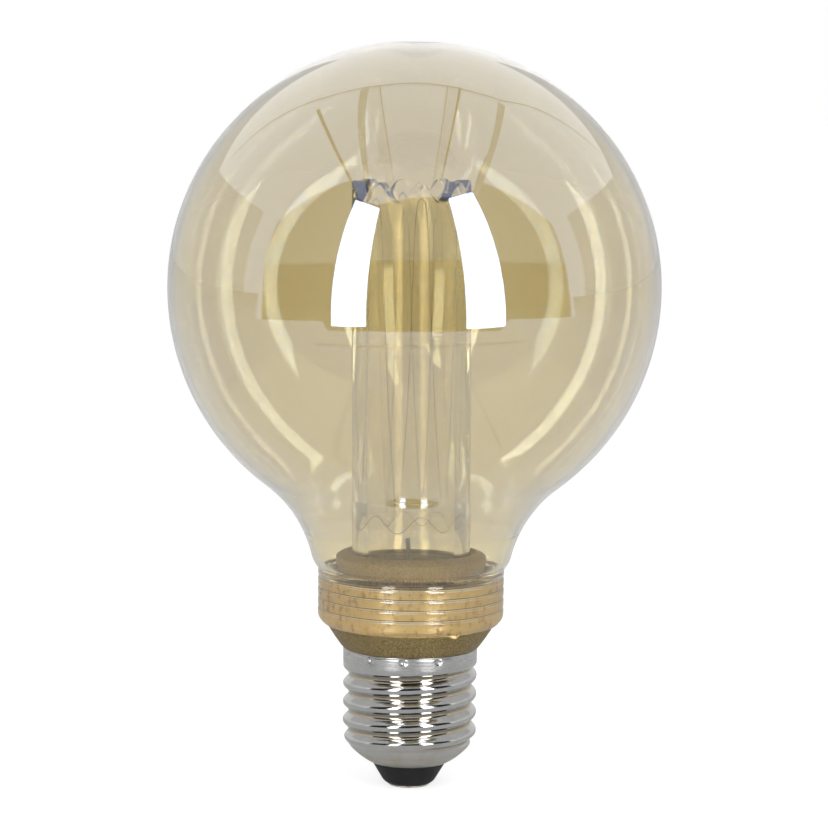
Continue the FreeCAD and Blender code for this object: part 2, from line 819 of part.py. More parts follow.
def centre_contact():
    """Rivet: a disc with a hollow shank that grips the contact lead."""
    top = S.contact_shank_length
    corners = [
        (0, 0),
        (S.contact_radius - S.contact_thickness / 2, 0),
        (S.contact_radius, S.contact_thickness / 2),
        (S.contact_radius, S.contact_thickness),
        (S.contact_shank_radius, S.contact_thickness),
        (S.contact_shank_radius, top),
        (S.contact_bore_radius, top),
        (S.contact_bore_radius, S.contact_thickness * 2),
        (0, S.contact_thickness * 2),
    ]
    return turned_body("centre_contact", corners)


# driver and its components
driver_foot = plug_bottom + S.driver_lift
driver_front = S.driver_offset
driver_back = S.driver_offset + S.driver_thickness
driver_top = driver_foot + S.driver_length
choke_across = -(S.choke_radius + S.driver_thickness / 2)
choke_foot = driver_foot + S.driver_thickness


def block(label, low, size):
    """A box from its low corner and its three sizes."""
    box = doc.addObject("Part::Box", label)
    box.Label = label
    for name, item in zip(("Length", "Width", "Height"), size):
        box.setExpression(name, text_of(item))
    for name, item in zip("xyz", low):
        box.setExpression(f"Placement.Base.{name}", text_of(item))
    return box


def driver_board():
    low = (-S.driver_width / 2, driver_front, driver_foot)
    size = (S.driver_width, S.driver_thickness, S.driver_length)
    return block("driver_board", low, size)


def standing_can(label, corners, across, back, foot):
    """A turned component that stands in front of the driver board."""
    body = turned_body(label, corners)
    body.setExpression("Placement.Base.x", text_of(across))
    body.setExpression("Placement.Base.y", text_of(back))
    body.setExpression("Placement.Base.z", text_of(foot))
    return body


def electrolytic_capacitor():
    radius = S.capacitor_radius
    bead = S.capacitor_length - radius / 2
    corners = [
        (0, 0),
        (radius, 0),
        (radius, bead - S.capacitor_groove * 2),
        (radius - S.capacitor_groove, bead),
        (radius, bead + S.capacitor_groove * 2),
        (radius, S.capacitor_length),
        (0, S.capacitor_length),
    ]
    foot = choke_foot + S.choke_length + S.component_gap
    return standing_can("electrolytic_capacitor", corners, 0, driver_front - radius, foot)


def choke_core():
    corners = [
        (0, 0),
        (S.choke_radius, 0),
        (S.choke_radius, S.choke_flange),
        (S.choke_waist, S.choke_flange),
        (S.choke_waist, S.choke_length - S.choke_flange),
        (S.choke_radius, S.choke_length - S.choke_flange),
        (S.choke_radius, S.choke_length),
        (0, S.choke_length),
    ]
    back = driver_front - S.choke_radius
    return standing_can("choke_core", corners, choke_across, back, choke_foot)


def choke_winding():
    corners = [
        (S.choke_waist, S.choke_flange),
        (S.choke_winding, S.choke_flange),
        (S.choke_winding, S.choke_length - S.choke_flange),
        (S.choke_waist, S.choke_length - S.choke_flange),
    ]
    back = driver_front - S.choke_radius
    return standing_can("choke_winding", corners, choke_across, back, choke_foot)


def film_capacitor():
    low = (
        S.driver_thickness / 2,
        driver_front - S.film_capacitor_width,
        driver_foot + S.driver_thickness,
    )
    size = (S.film_capacitor_length, S.film_capacitor_width, S.film_capacitor_height)
    return block("film_capacitor", low, size)


def bridge_rectifier():
    low = (-S.bridge_length / 2, driver_back, driver_foot + S.driver_thickness)
    return block("bridge_rectifier", low, (S.bridge_length, S.bridge_height, S.bridge_width))


chip_foot = driver_foot + S.driver_thickness * 2 + S.bridge_width


def driver_chip():
    low = (-S.driver_chip_length / 2, driver_back, chip_foot)
    size = (S.driver_chip_length, S.driver_chip_height, S.driver_chip_width)
    return block("driver_chip", low, size)


def chip_resistors():
    """A row of chip resistors above the driver chip."""
    foot = chip_foot + S.driver_chip_width + S.driver_thickness
    count = S.count("resistor_count")
    boxes = []
    for index in range(count):
        across = (index - count / 2) * S.resistor_pitch
        low = (across, driver_back, foot)
        size = (S.resistor_width, S.resistor_height, S.resistor_length)
        boxes.append(block(f"chip_resistor_{index + 1}", low, size))
    row = doc.addObject("Part::Compound", "chip_resistors")
    row.Links = boxes
    return row


# leads, each a round wire along straight runs and arcs
def route(points, bend):
    """Straight runs through the points, joined by tangent arcs."""
    edges = []
    start = points[0]
    for before, corner, after in zip(points, points[1:], points[2:]):
        to_before = (before - corner).normalize()
        to_after = (after - corner).normalize()
        half_angle = to_before.getAngle(to_after) / 2
        reach = bend / math.tan(half_angle)
        inward = (to_before + to_after).normalize()
        centre = corner + inward * (bend / math.sin(half_angle))
        first = corner + to_before * reach
        last = corner + to_after * reach
        edges.append(Part.makeLine(start, first))
        edges.append(Part.Arc(first, centre - inward * bend, last).toShape())
        start = last
    edges.append(Part.makeLine(start, points[-1]))
    return Part.Wire(edges)


def wire_solid(points, radius):
    path = route(points, plain(S.lead_bend) * radius)
    section = Part.Wire(Part.makeCircle(radius, points[0], points[1] - points[0]))
    return path.makePipeShell([section], True, True)


def lead(label, shape):
    item = doc.addObject("Part::Feature", label)
    item.Label = label
    item.Shape = shape
    return item


def led_feed_lead():
    """Sleeved lead up the middle; its free end stands above the centre ring."""
    radius = plain(S.feed_radius)
    beside_board = plain(driver_front) - radius
    start = plain(heat_sink_top - 3 * S.heat_sink_wall)
    level = plain(board_top)
    points = [
        Vector(0, beside_board, plain(driver_top) - 4 * radius),
        Vector(0, beside_board, start - 4 * radius),
        Vector(0, 0, start),
        Vector(0, 0, level + plain(S.feed_straight_rise)),
        Vector(-plain(S.feed_kink_lean), 0, level + plain(S.feed_kink_rise)),
        Vector(-plain(S.feed_stub_lean), 0, level + plain(S.feed_stub_rise)),
    ]
    return lead("led_feed_lead", wire_solid(points, radius))


def led_return_lead():
    """Bare lead through its own hole, bent over to a pad of the board."""
    radius = plain(S.lead_radius)
    across = plain(S.return_offset)
    beside_board = plain(driver_front) - radius
    over = plain(board_top + S.return_gap) + radius
    points = [
        Vector(across, beside_board, plain(driver_top) - 6 * radius),
        Vector(across, beside_board, plain(driver_top) + 2 * radius),
        Vector(across, 0, plain(heat_sink_top - 2 * S.heat_sink_wall)),
        Vector(across, 0, over),
        Vector(across, -plain(S.return_reach), over),
    ]
    return lead("led_return_lead", wire_solid(points, radius))


def solder_dome(base, radius, height):
    """Low dome of solder with its flat side down."""
    ball = (radius**2 + height**2) / (2 * height)
    dome = Part.makeSphere(ball, base + Vector(0, 0, height - ball))
    keep_above = Part.makeCylinder(ball, 2 * ball, base)
    return dome.common(keep_above)


def led_solder_joints(leads):
    """A joint round the feed lead and one over the end of the return lead."""
    radius = plain(S.solder_radius)
    feed_foot = Vector(0, 0, plain(board_top))
    over_return = -plain(S.return_reach - S.lead_radius)
    return_foot = Vector(plain(S.return_offset), over_return, plain(board_top))
    joints = [
        solder_dome(feed_foot, radius, plain(S.feed_solder_height)),
        solder_dome(return_foot, radius, plain(S.return_solder_height)),
    ]
    trimmed = [joint.cut(leads[0].Shape).cut(leads[1].Shape) for joint in joints]
    solids = [solid for joint in trimmed for solid in joint.Solids]
    return lead("led_solder_joints", Part.makeCompound(solids))


fuse_foot = S.insulator_top_height + S.cap_wall


def fuse_resistor():
    """Small fuse resistor that stands over the contact, in line with its lead."""
    radius = S.fuse_radius
    corners = [
        (S.lead_radius, 0),
        (radius, 0),
        (radius, S.fuse_length / 4),
        (S.fuse_waist, S.fuse_length / 3),
        (S.fuse_waist, S.fuse_length * 2 / 3),
        (radius, S.fuse_length * 3 / 4),
        (radius, S.fuse_length),
        (S.lead_radius, S.fuse_length),
    ]
    return standing_can("fuse_resistor", corners, 0, 0, fuse_foot)


def contact_lead():
    """Lead from the rivet through the fuse resistor to the driver board."""
    radius = plain(S.lead_radius)
    beside_board = plain(driver_front) - radius
    above = plain(fuse_foot + S.fuse_length) + 3 * radius
    points = [
        Vector(0, 0, plain(S.contact_thickness * 2 + S.lead_end_gap)),
        Vector(0, 0, above),
        Vector(0, beside_board, above + 4 * radius),
        Vector(0, beside_board, above + 9 * radius),
    ]
    return lead("contact_lead", wire_solid(points, radius))


def shell_lead():
    """Lead from the driver board out under the plug and up its slot."""
    radius = plain(S.lead_radius - S.lead_end_gap / 4)
    beside_board = plain(driver_front) - radius
    slot_middle = plain(thread_bore - S.plug_clearance - S.lead_radius)
    below = plain(plug_bottom) - 2 * radius
    inside = plain(S.plug_bore_radius) - 4 * radius
    points = [
        Vector(inside, beside_board, plain(driver_foot) + 8 * radius),
        Vector(inside, beside_board, below + radius),
        Vector(inside, 0, below),
        Vector(slot_middle, 0, below),
        Vector(slot_middle, 0, plain(plug_bottom + S.slot_length) - 2 * radius),
    ]
    return lead("shell_lead", wire_solid(points, radius))


keep(cap_shell())
keep(cap_insulator())
keep(centre_contact())
keep(base_housing())
keep(neck_adhesive())
keep(globe_envelope())
keep(heat_sink())
keep(led_board())
keep(led_chips())
keep(light_guide_collar())
keep(centre_ring())
keep(light_guide_tube())
keep(driver_board())
keep(electrolytic_capacitor())
keep(choke_core())
keep(choke_winding())
keep(film_capacitor())
keep(bridge_rectifier())
keep(driver_chip())
keep(chip_resistors())
feed = keep(led_feed_lead())
back = keep(led_return_lead())
keep(led_solder_joints((feed, back)))
keep(fuse_resistor())
keep(contact_lead())
keep(shell_lead())

doc.recompute()

for item in doc.Objects:
    if "Invalid" in item.State or "Error" in item.State:
        raise RuntimeError(f"{item.Label} failed: {item.State}")
for node in nodes:
    if node.Shape.isNull() or not node.Shape.isValid():
        raise RuntimeError(f"{node.Label} has no valid shape")

os.makedirs("parts", exist_ok=True)
for node in nodes:
    node.Shape.exportStep(f"parts/{node.Label}.step")
    box = node.Shape.BoundBox
    print(f"{node.Label}: {len(node.Shape.Solids)} solids, {node.Shape.Volume:.2f} mm3, "
          f"z {box.ZMin:.2f} to {box.ZMax:.2f}, r {box.XMax:.2f}")
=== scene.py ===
import math

import bmesh
import bpy
from mathutils import Matrix, Vector, noise


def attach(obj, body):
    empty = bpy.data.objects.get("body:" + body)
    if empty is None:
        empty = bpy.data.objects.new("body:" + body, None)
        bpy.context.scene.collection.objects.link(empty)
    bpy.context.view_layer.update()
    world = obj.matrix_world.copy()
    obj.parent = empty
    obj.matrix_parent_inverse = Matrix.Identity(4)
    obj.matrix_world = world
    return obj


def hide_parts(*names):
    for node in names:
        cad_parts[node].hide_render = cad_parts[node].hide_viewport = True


# Globe bulb: amber glass globe, light guide tube with an etched filament,
# gold housing and nickel screw cap. Written in millimetres, made in metres.

MM = 0.001
LEFT = 1
RIGHT = -1

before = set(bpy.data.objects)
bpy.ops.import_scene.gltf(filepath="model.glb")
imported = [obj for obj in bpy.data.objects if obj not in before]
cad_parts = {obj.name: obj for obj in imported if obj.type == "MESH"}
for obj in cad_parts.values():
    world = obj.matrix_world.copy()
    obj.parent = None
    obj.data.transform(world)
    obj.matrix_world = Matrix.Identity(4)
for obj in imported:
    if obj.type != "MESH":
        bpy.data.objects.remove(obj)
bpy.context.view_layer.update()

# sizes that several pieces share: heights above the contact face, radii and degrees.
# The tops of spigot and tube and the first tip were measured after the part's source
# was closed, and differ from it a little.
SKIRT_TOP = 27.5
BRIM_TOP = 32.1
NECK_BOTTOM = 32.3
NECK_TOP = 43.1
SPIGOT_TOP = 41.85
LEDGE_TOP = 34.2
SINK_TOP = 40.6
BOARD_TOP = 41.6
TUBE_BOTTOM = 42.45
TUBE_TOP = 118.2
GLOBE_CENTRE = 97.4
GLOBE_RADIUS = 47.5
NECK_RADIUS = 18.1
NECK_BORE = 16.6
BRIM_RADIUS = 16.2
RIB_CREST = 16.3
RIB_FLOOR = 15.75
TUBE_RADIUS = 11.5
TUBE_BORE = 8.5
FIRST_TIP = 9.7
SCALLOPS = 8

# grooves round the neck, and the ribs of the spigot behind them
RIB_COUNT = 4
RIB_PITCH = 2.02
FIRST_RIB = 1.55  # below the top of the neck


# camera at the photograph's angle
def photo_camera():
    lens = bpy.data.cameras.new("photo_camera")
    lens.sensor_width = 36.0
    lens.lens = 147.2
    lens.clip_start = 0.01
    lens.clip_end = 100.0
    camera = bpy.data.objects.new("photo_camera", lens)
    camera.location = (0.0002, -0.650, 0.1515)
    tilt = Matrix.Rotation(math.radians(83.115), 4, "X")
    roll = Matrix.Rotation(math.radians(0.69), 4, "Z")
    camera.rotation_euler = (tilt @ roll).to_euler()
    bpy.context.collection.objects.link(camera)
    bpy.context.scene.camera = camera


photo_camera()


# outlines, drawn in the XZ plane and turned round Z
class Outline:
    """Half outline of a turned piece, drawn point by point."""

    def __init__(self, across, up):
        self.mesh = bmesh.new()
        self.last = self.mesh.verts.new((across * MM, 0, up * MM))
        self.first = self.last
        self.corners = []

    def to(self, across, up, rounding=0.0):
        """Straight on to a point, whose corner may be rounded."""
        point = self.mesh.verts.new((across * MM, 0, up * MM))
        self.mesh.edges.new((self.last, point))
        self.last = point
        if rounding:
            self.corners.append((point, rounding))
        return self

    def rows(self, across, up, count):
        """Straight on to a point in several even steps."""
        start = self.last.co.copy()
        end = Vector((across * MM, 0, up * MM))
        for step in range(1, count + 1):
            spot = start.lerp(end, step / count)
            self.to(spot.x / MM, spot.z / MM)
        return self

    def arc(self, across, up, radius, turn, steps):
        """The shorter arc to a point, turning left or right."""
        start = self.last.co.copy()
        end = Vector((across * MM, 0, up * MM))
        chord = end - start
        half = chord.length / 2
        reach = math.sqrt(max((radius * MM) ** 2 - half**2, 0))
        aside = Vector((-chord.z, 0, chord.x)).normalized() * turn
        centre = (start + end) / 2 + aside * reach
        angle = 2 * math.asin(min(half / (radius * MM), 1))
        made = bmesh.ops.spin(
            self.mesh, geom=[self.last], cent=centre, axis=(0, -turn, 0),
            angle=angle, steps=steps,
        )
        self.last = made["geom_last"][0]
        return self

    def close(self):
        self.mesh.edges.new((self.last, self.first))
        return self

    def rounded(self):
        """Round the corners that were marked."""
        for point, rounding in self.corners:
            bmesh.ops.bevel(
                self.mesh, geom=[point], offset=rounding * MM, affect="VERTICES",
                segments=4, profile=0.5, material=-1,
            )
        return self.mesh


def turned(outline, steps):
    """Spin a half outline to a closed surface."""
    mesh = outline.rounded()
    bmesh.ops.spin(
        mesh, geom=mesh.verts[:] + mesh.edges[:], cent=(0, 0, 0), axis=(0, 0, 1),
        angle=2 * math.pi, steps=steps, use_merge=True,
    )
    bmesh.ops.remove_doubles(mesh, verts=mesh.verts, dist=0.0005 * MM)
    bmesh.ops.recalc_face_normals(mesh, faces=mesh.faces)
    return mesh


def piece(name, mesh, material, crease=32.0):
    """Make an object of a mesh, shaded smooth up to a crease angle."""
    limit = math.radians(crease)
    for face in mesh.faces:
        face.smooth = True
    for edge in mesh.edges:
        edge.smooth = edge.calc_face_angle(0) < limit
    data = bpy.data.meshes.new(name)
    mesh.to_mesh(data)
    mesh.free()
    data.materials.append(material)
    made = bpy.data.objects.new(name, data)
    bpy.context.collection.objects.link(made)
    return made


def stands_for(made, node):
    """The piece takes the place of a node of the CAD model."""
    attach(made, "root")
    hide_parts(node)
    return made


def turn_of(spot):
    """Degrees from the front of the bulb, towards +X."""
    return math.degrees(math.atan2(spot.x, -spot.y))


def ease(low, high, value):
    """Smooth step from 0 to 1 between two values."""
    share = min(max((value - low) / (high - low), 0.0), 1.0)
    return share * share * (3 - 2 * share)


# shader building blocks
def add(tree, kind, **inputs):
    """A node with its values and its links."""
    node = tree.nodes.new(kind)
    for key, value in inputs.items():
        join(tree, value, node.inputs[key.replace("_", " ")])
    return node


def join(tree, value, socket):
    """Link an output to a socket, or set the socket to a plain value."""
    if isinstance(value, bpy.types.NodeSocket):
        tree.links.new(value, socket)
    else:
        socket.default_value = value


def maths(tree, operation, *values):
    node = tree.nodes.new("ShaderNodeMath")
    node.operation = operation
    for index, value in enumerate(values):
        join(tree, value, node.inputs[index])
    return node.outputs[0]


def between(tree, value, low, high, to_low=0.0, to_high=1.0):
    """A value's place between two limits, spread over another range."""
    node = tree.nodes.new("ShaderNodeMapRange")
    for label, item in (
        ("Value", value), ("From Min", low), ("From Max", high),
        ("To Min", to_low), ("To Max", to_high),
    ):
        join(tree, item, node.inputs[label])
    return node.outputs["Result"]


def blended(tree, share, first, second, mode="MIX"):
    """A mix of two colours."""
    node = tree.nodes.new("ShaderNodeMix")
    node.data_type = "RGBA"
    node.blend_type = mode
    join(tree, share, node.inputs["Factor"])
    join(tree, first, node.inputs[6])
    join(tree, second, node.inputs[7])
    return node.outputs[2]


def mixed_value(tree, share, first, second):
    """A mix of two plain values."""
    node = tree.nodes.new("ShaderNodeMix")
    join(tree, share, node.inputs["Factor"])
    join(tree, first, node.inputs[2])
    join(tree, second, node.inputs[3])
    return node.outputs[0]


def place(tree):
    return tree.nodes.new("ShaderNodeTexCoord").outputs["Object"]


def place_parts(tree):
    """X, Y and Z of the place."""
    return add(tree, "ShaderNodeSeparateXYZ", Vector=place(tree)).outputs


def from_axis(tree, spot):
    """Distance from the bulb's axis."""
    squares = maths(tree, "ADD", maths(tree, "MULTIPLY", spot["X"], spot["X"]),
                    maths(tree, "MULTIPLY", spot["Y"], spot["Y"]))
    return maths(tree, "SQRT", squares)


def noise_scale(tree, size):
    """Scale of a texture from the size of its marks in millimetres."""
    return maths(tree, "DIVIDE", 1000.0, size)


def new_group(name, inputs, outputs):
    tree = bpy.data.node_groups.new(name, "ShaderNodeTree")
    for label, value in inputs.items():
        kind = "NodeSocketColor" if isinstance(value, tuple) else "NodeSocketFloat"
        socket = tree.interface.new_socket(name=label, in_out="INPUT", socket_type=kind)
        socket.default_value = value
    for label, kind in outputs.items():
        tree.interface.new_socket(name=label, in_out="OUTPUT", socket_type=kind)
    start = tree.nodes.new("NodeGroupInput").outputs
    end = tree.nodes.new("NodeGroupOutput").inputs
    return tree, start, end


def colour(red, green, blue):
    return (red, green, blue, 1.0)


def mottle_group():
    """Two colours in soft patches."""
    tree, start, end = new_group(
        "mottle",
        {"Size": 1.0, "First": colour(0, 0, 0), "Second": colour(1, 1, 1), "Share": 0.5,
         "Softness": 0.15},
        {"Colour": "NodeSocketColor", "Mask": "NodeSocketFloat"},
    )
    scale = noise_scale(tree, start["Size"])
    patches = add(tree, "ShaderNodeTexNoise", Vector=place(tree), Scale=scale, Detail=4.0)
    low = maths(tree, "SUBTRACT", start["Share"], start["Softness"])
    high = maths(tree, "ADD", start["Share"], start["Softness"])
    mask = between(tree, patches.outputs["Fac"], low, high)
    tree.links.new(mask, end["Mask"])
    tree.links.new(blended(tree, mask, start["First"], start["Second"]), end["Colour"])
    return tree


def grain_group():
    """Fine even grain: a value between two limits, and a height."""
    tree, start, end = new_group(
        "grain",
        {"Size": 0.3, "Low": 0.3, "High": 0.5},
        {"Value": "NodeSocketFloat", "Height": "NodeSocketFloat"},
    )
    scale = noise_scale(tree, start["Size"])
    grain = add(tree, "ShaderNodeTexNoise", Vector=place(tree), Scale=scale, Detail=3.0)
    fine = grain.outputs["Fac"]
    tree.links.new(between(tree, fine, 0.3, 0.7, start["Low"], start["High"]), end["Value"])
    tree.links.new(fine, end["Height"])
    return tree


def turning_group():
    """Marks that run round the axis, as on a spun or turned piece."""
    tree, start, end = new_group(
        "turning_marks",
        {"Size": 0.3, "Low": 0.15, "High": 0.3},
        {"Value": "NodeSocketFloat", "Height": "NodeSocketFloat"},
    )
    spot = place_parts(tree)
    radius = from_axis(tree, spot)
    drift = maths(tree, "MULTIPLY", spot["X"], 0.04)
    along = add(tree, "ShaderNodeCombineXYZ", X=radius, Y=spot["Z"], Z=drift).outputs[0]
    scale = noise_scale(tree, start["Size"])
    marks = add(tree, "ShaderNodeTexNoise", Vector=along, Scale=scale, Detail=3.0)
    fine = marks.outputs["Fac"]
    tree.links.new(between(tree, fine, 0.3, 0.7, start["Low"], start["High"]), end["Value"])
    tree.links.new(fine, end["Height"])
    return tree


def flake_group():
    """Small flakes that catch the light, some brighter than others."""
    tree, start, end = new_group(
        "flakes",
        {"Size": 0.12, "Share": 0.5, "Dull": colour(0, 0, 0), "Bright": colour(1, 1, 1)},
        {"Colour": "NodeSocketColor", "Mask": "NodeSocketFloat"},
    )
    scale = noise_scale(tree, start["Size"])
    cells = add(tree, "ShaderNodeTexVoronoi", Vector=place(tree), Scale=scale)
    chance = add(tree, "ShaderNodeSeparateColor", Color=cells.outputs["Color"]).outputs[0]
    high = maths(tree, "ADD", start["Share"], 0.3)
    mask = between(tree, chance, start["Share"], high)
    tree.links.new(mask, end["Mask"])
    tree.links.new(blended(tree, mask, start["Dull"], start["Bright"]), end["Colour"])
    return tree


MOTTLE = mottle_group()
GRAIN = grain_group()
TURNING = turning_group()
FLAKES = flake_group()


def grouped(tree, group, **values):
    node = tree.nodes.new("ShaderNodeGroup")
    node.node_tree = group
    for key, value in values.items():
        join(tree, value, node.inputs[key])
    return node.outputs


def new_material(name, values):
    """A material with one Principled shader and its plain values."""
    made = bpy.data.materials.new(name)
    made.use_nodes = True
    tree = made.node_tree
    shader = tree.nodes["Principled BSDF"]
    for key, value in values.items():
        shader.inputs[key].default_value = value
    return made, tree, shader.inputs


def bumped(tree, height, depth):
    """A normal from a height; depth in millimetres."""
    node = add(tree, "ShaderNodeBump", Height=height, Distance=depth * MM)
    return node.outputs["Normal"]


def tinted(tree, shader, size, first, second, softness=0.2):
    """Base colour in soft patches of two close tones."""
    tint = grouped(tree, MOTTLE, Size=size, First=first, Second=second, Share=0.5,
                   Softness=softness)
    tree.links.new(tint["Colour"], shader["Base Color"])


def grained(tree, shader, group, size, low, high, depth):
    """Roughness between two limits and a fine relief, by grain or turning marks."""
    fine = grouped(tree, group, Size=size, Low=low, High=high)
    tree.links.new(fine["Value"], shader["Roughness"])
    tree.links.new(bumped(tree, fine["Height"], depth), shader["Normal"])


def amber_glass():
    """Glass with a thin mirror coat: clear, warm and bluish in reflection."""
    made, tree, shader = new_material("amber_glass", {
        "Roughness": 0.0,
        "IOR": 1.9,
        "Specular Tint": colour(0.0, 0.25, 1.0),
        "Transmission Weight": 1.0,
        "Coat Weight": 1.0,
        "Coat Roughness": 0.0,
        "Coat IOR": 1.82,
    })
    tinted(tree, shader, 30.0, colour(0.755, 0.698, 0.522), colour(0.765, 0.708, 0.535),
           0.3)
    return made


def neck_glass():
    """The same glass below the coated part."""
    made, tree, shader = new_material("neck_glass", {
        "Roughness": 0.0,
        "IOR": 1.9,
        "Transmission Weight": 1.0,
    })
    tinted(tree, shader, 30.0, colour(0.82, 0.76, 0.59), colour(0.84, 0.78, 0.615), 0.3)
    return made


def clear_acrylic():
    made, tree, shader = new_material("clear_acrylic", {
        "Roughness": 0.0,
        "IOR": 1.49,
        "Transmission Weight": 1.0,
    })
    tinted(tree, shader, 12.0, colour(0.97, 0.955, 0.91), colour(0.985, 0.975, 0.94), 0.3)
    return made


def etched_acrylic():
    made, tree, shader = new_material("etched_acrylic", {"Roughness": 0.7, "IOR": 1.49})
    tinted(tree, shader, 0.4, colour(0.13, 0.085, 0.05), colour(0.24, 0.18, 0.12))
    return made


def gold_paint(name, dull, bright):
    """Paint with metal flakes and a fine grain."""
    made, tree, shader = new_material(name, {"Metallic": 0.45, "IOR": 1.5})
    flakes = grouped(tree, FLAKES, Size=0.11, Share=0.35, Dull=dull, Bright=bright)
    patches = grouped(tree, MOTTLE, Size=2.5, First=colour(0.92, 0.9, 0.86),
                      Second=colour(1.0, 1.0, 1.0), Share=0.5, Softness=0.2)
    both = blended(tree, 1.0, flakes["Colour"], patches["Colour"], "MULTIPLY")
    tree.links.new(both, shader["Base Color"])
    grained(tree, shader, GRAIN, 0.16, 0.42, 0.62, 0.012)
    return made


def amber_glue():
    """Amber glue with sparkle. Along the neck's grooves it has dark lines, thicker glue with
    painted shade, and pale lines, a painted highlight.
    """
    made, tree, shader = new_material("amber_glue", {
        "IOR": 1.5,
        "Metallic": 0.25,
        "Coat Weight": 0.5,
        "Coat Roughness": 0.08,
    })
    runs = grouped(tree, MOTTLE, Size=1.4, First=colour(0.88, 0.66, 0.27),
                   Second=colour(0.46, 0.27, 0.07), Share=0.62, Softness=0.1)
    sparkle = grouped(tree, FLAKES, Size=0.14, Share=0.55, Dull=colour(0.0, 0.0, 0.0),
                      Bright=colour(1.0, 1.0, 1.0))
    lit = maths(tree, "MULTIPLY", sparkle["Mask"], 0.45)
    mixed = blended(tree, lit, runs["Colour"], colour(0.78, 0.62, 0.30))
    wobble_size = 0.3 * MM
    wobble = add(tree, "ShaderNodeTexNoise", Vector=place(tree), Scale=120.0)
    height = maths(tree, "MULTIPLY_ADD", wobble.outputs["Fac"], wobble_size,
                   place_parts(tree)["Z"])
    first_line = (NECK_TOP - FIRST_RIB) * MM + wobble_size / 2
    half_pitch = RIB_PITCH / 2 * MM
    from_rib = maths(tree, "WRAP", maths(tree, "SUBTRACT", height, first_line),
                     half_pitch, -half_pitch)
    above_bead = between(tree, height, 34.4 * MM, 34.7 * MM)
    painted_highlight_drop = 0.55 * MM
    from_painted_highlight = maths(tree, "ABSOLUTE", maths(tree, "ADD", from_rib, painted_highlight_drop))
    # painted shade and highlight of the grooves: the dark line is thicker glue with painted
    # shade, the pale line beside it is a painted highlight
    lines = (
        (maths(tree, "ABSOLUTE", from_rib), 0.34 * MM, 0.18 * MM, colour(0.05, 0.02, 0.005)),
        (from_painted_highlight, 0.24 * MM, 0.12 * MM, colour(1.0, 0.97, 0.90)),
    )
    for distance, outer, inner, tone in lines:
        on_painted_line = maths(tree, "MULTIPLY", between(tree, distance, outer, inner), above_bead)
        mixed = blended(tree, on_painted_line, mixed, tone)
    tree.links.new(mixed, shader["Base Color"])
    grained(tree, shader, GRAIN, 0.5, 0.25, 0.5, 0.03)
    return made


def nickel_plate():
    """Plated sheet: smooth thread with darker, browner roots, duller skirt and bowl."""
    made, tree, shader = new_material("nickel_plate", {"Metallic": 1.0, "IOR": 1.5})
    spot = place_parts(tree)
    radius = from_axis(tree, spot)
    above_bowl = between(tree, spot["Z"], 8.6 * MM, 9.4 * MM)
    below_skirt = between(tree, spot["Z"], 24.2 * MM, 23.8 * MM)
    threaded = maths(tree, "MULTIPLY", above_bowl, below_skirt)
    # darker, browner colour in the recessed roots of the thread
    in_root = between(tree, radius, 12.16 * MM, 12.02 * MM)
    root_darkening = maths(tree, "MULTIPLY", maths(tree, "MULTIPLY", in_root, threaded), 0.55)
    plate = grouped(tree, MOTTLE, Size=2.2, First=colour(0.50, 0.50, 0.49),
                    Second=colour(0.56, 0.56, 0.55), Share=0.5, Softness=0.2)
    in_bowl = between(tree, spot["Z"], 8.6 * MM, 7.2 * MM)
    bowl_tint = grouped(tree, MOTTLE, Size=3.0, First=colour(0.50, 0.46, 0.36),
                        Second=colour(0.54, 0.53, 0.50), Share=0.45, Softness=0.15)
    body = blended(tree, in_bowl, plate["Colour"], bowl_tint["Colour"])
    tree.links.new(blended(tree, root_darkening, body, colour(0.45, 0.34, 0.17)), shader["Base Color"])
    marks = grouped(tree, TURNING, Size=0.12, Low=0.06, High=0.15)
    skirt_marks = grouped(tree, TURNING, Size=0.2, Low=0.22, High=0.34)
    in_skirt = between(tree, spot["Z"], 24.6 * MM, 25.1 * MM)
    walls = mixed_value(tree, in_skirt, marks["Value"], skirt_marks["Value"])
    bowl_marks = grouped(tree, TURNING, Size=0.35, Low=0.28, High=0.5)
    rough = mixed_value(tree, in_bowl, walls, bowl_marks["Value"])
    tree.links.new(rough, shader["Roughness"])
    tree.links.new(bumped(tree, bowl_marks["Height"], 0.01), shader["Normal"])
    return made


def black_insulator():
    made, tree, shader = new_material("black_insulator", {
        "IOR": 1.5,
        "Specular IOR Level": 0.25,
    })
    tinted(tree, shader, 2.0, colour(0.010, 0.010, 0.011), colour(0.018, 0.017, 0.017))
    grained(tree, shader, GRAIN, 0.25, 0.42, 0.58, 0.006)
    return made


def metal(name, first, second, low, high, size=0.3):
    """Metal with turning marks and two close tones."""
    made, tree, shader = new_material(name, {"Metallic": 1.0, "IOR": 1.5})
    tinted(tree, shader, 1.5, first, second)
    grained(tree, shader, TURNING, size, low, high, 0.004)
    return made


def plain_body(name, first, second, low, high, size=1.0):
    """Moulded, lacquered or printed stuff with two close tones and a grain."""
    made, tree, shader = new_material(name, {"IOR": 1.5})
    tinted(tree, shader, size, first, second)
    grained(tree, shader, GRAIN, 0.3, low, high, 0.01)
    return made


glass = amber_glass()
bare_glass = neck_glass()
acrylic = clear_acrylic()
etched = etched_acrylic()
gold = gold_paint("gold_paint", colour(0.13, 0.092, 0.030), colour(0.36, 0.275, 0.12))
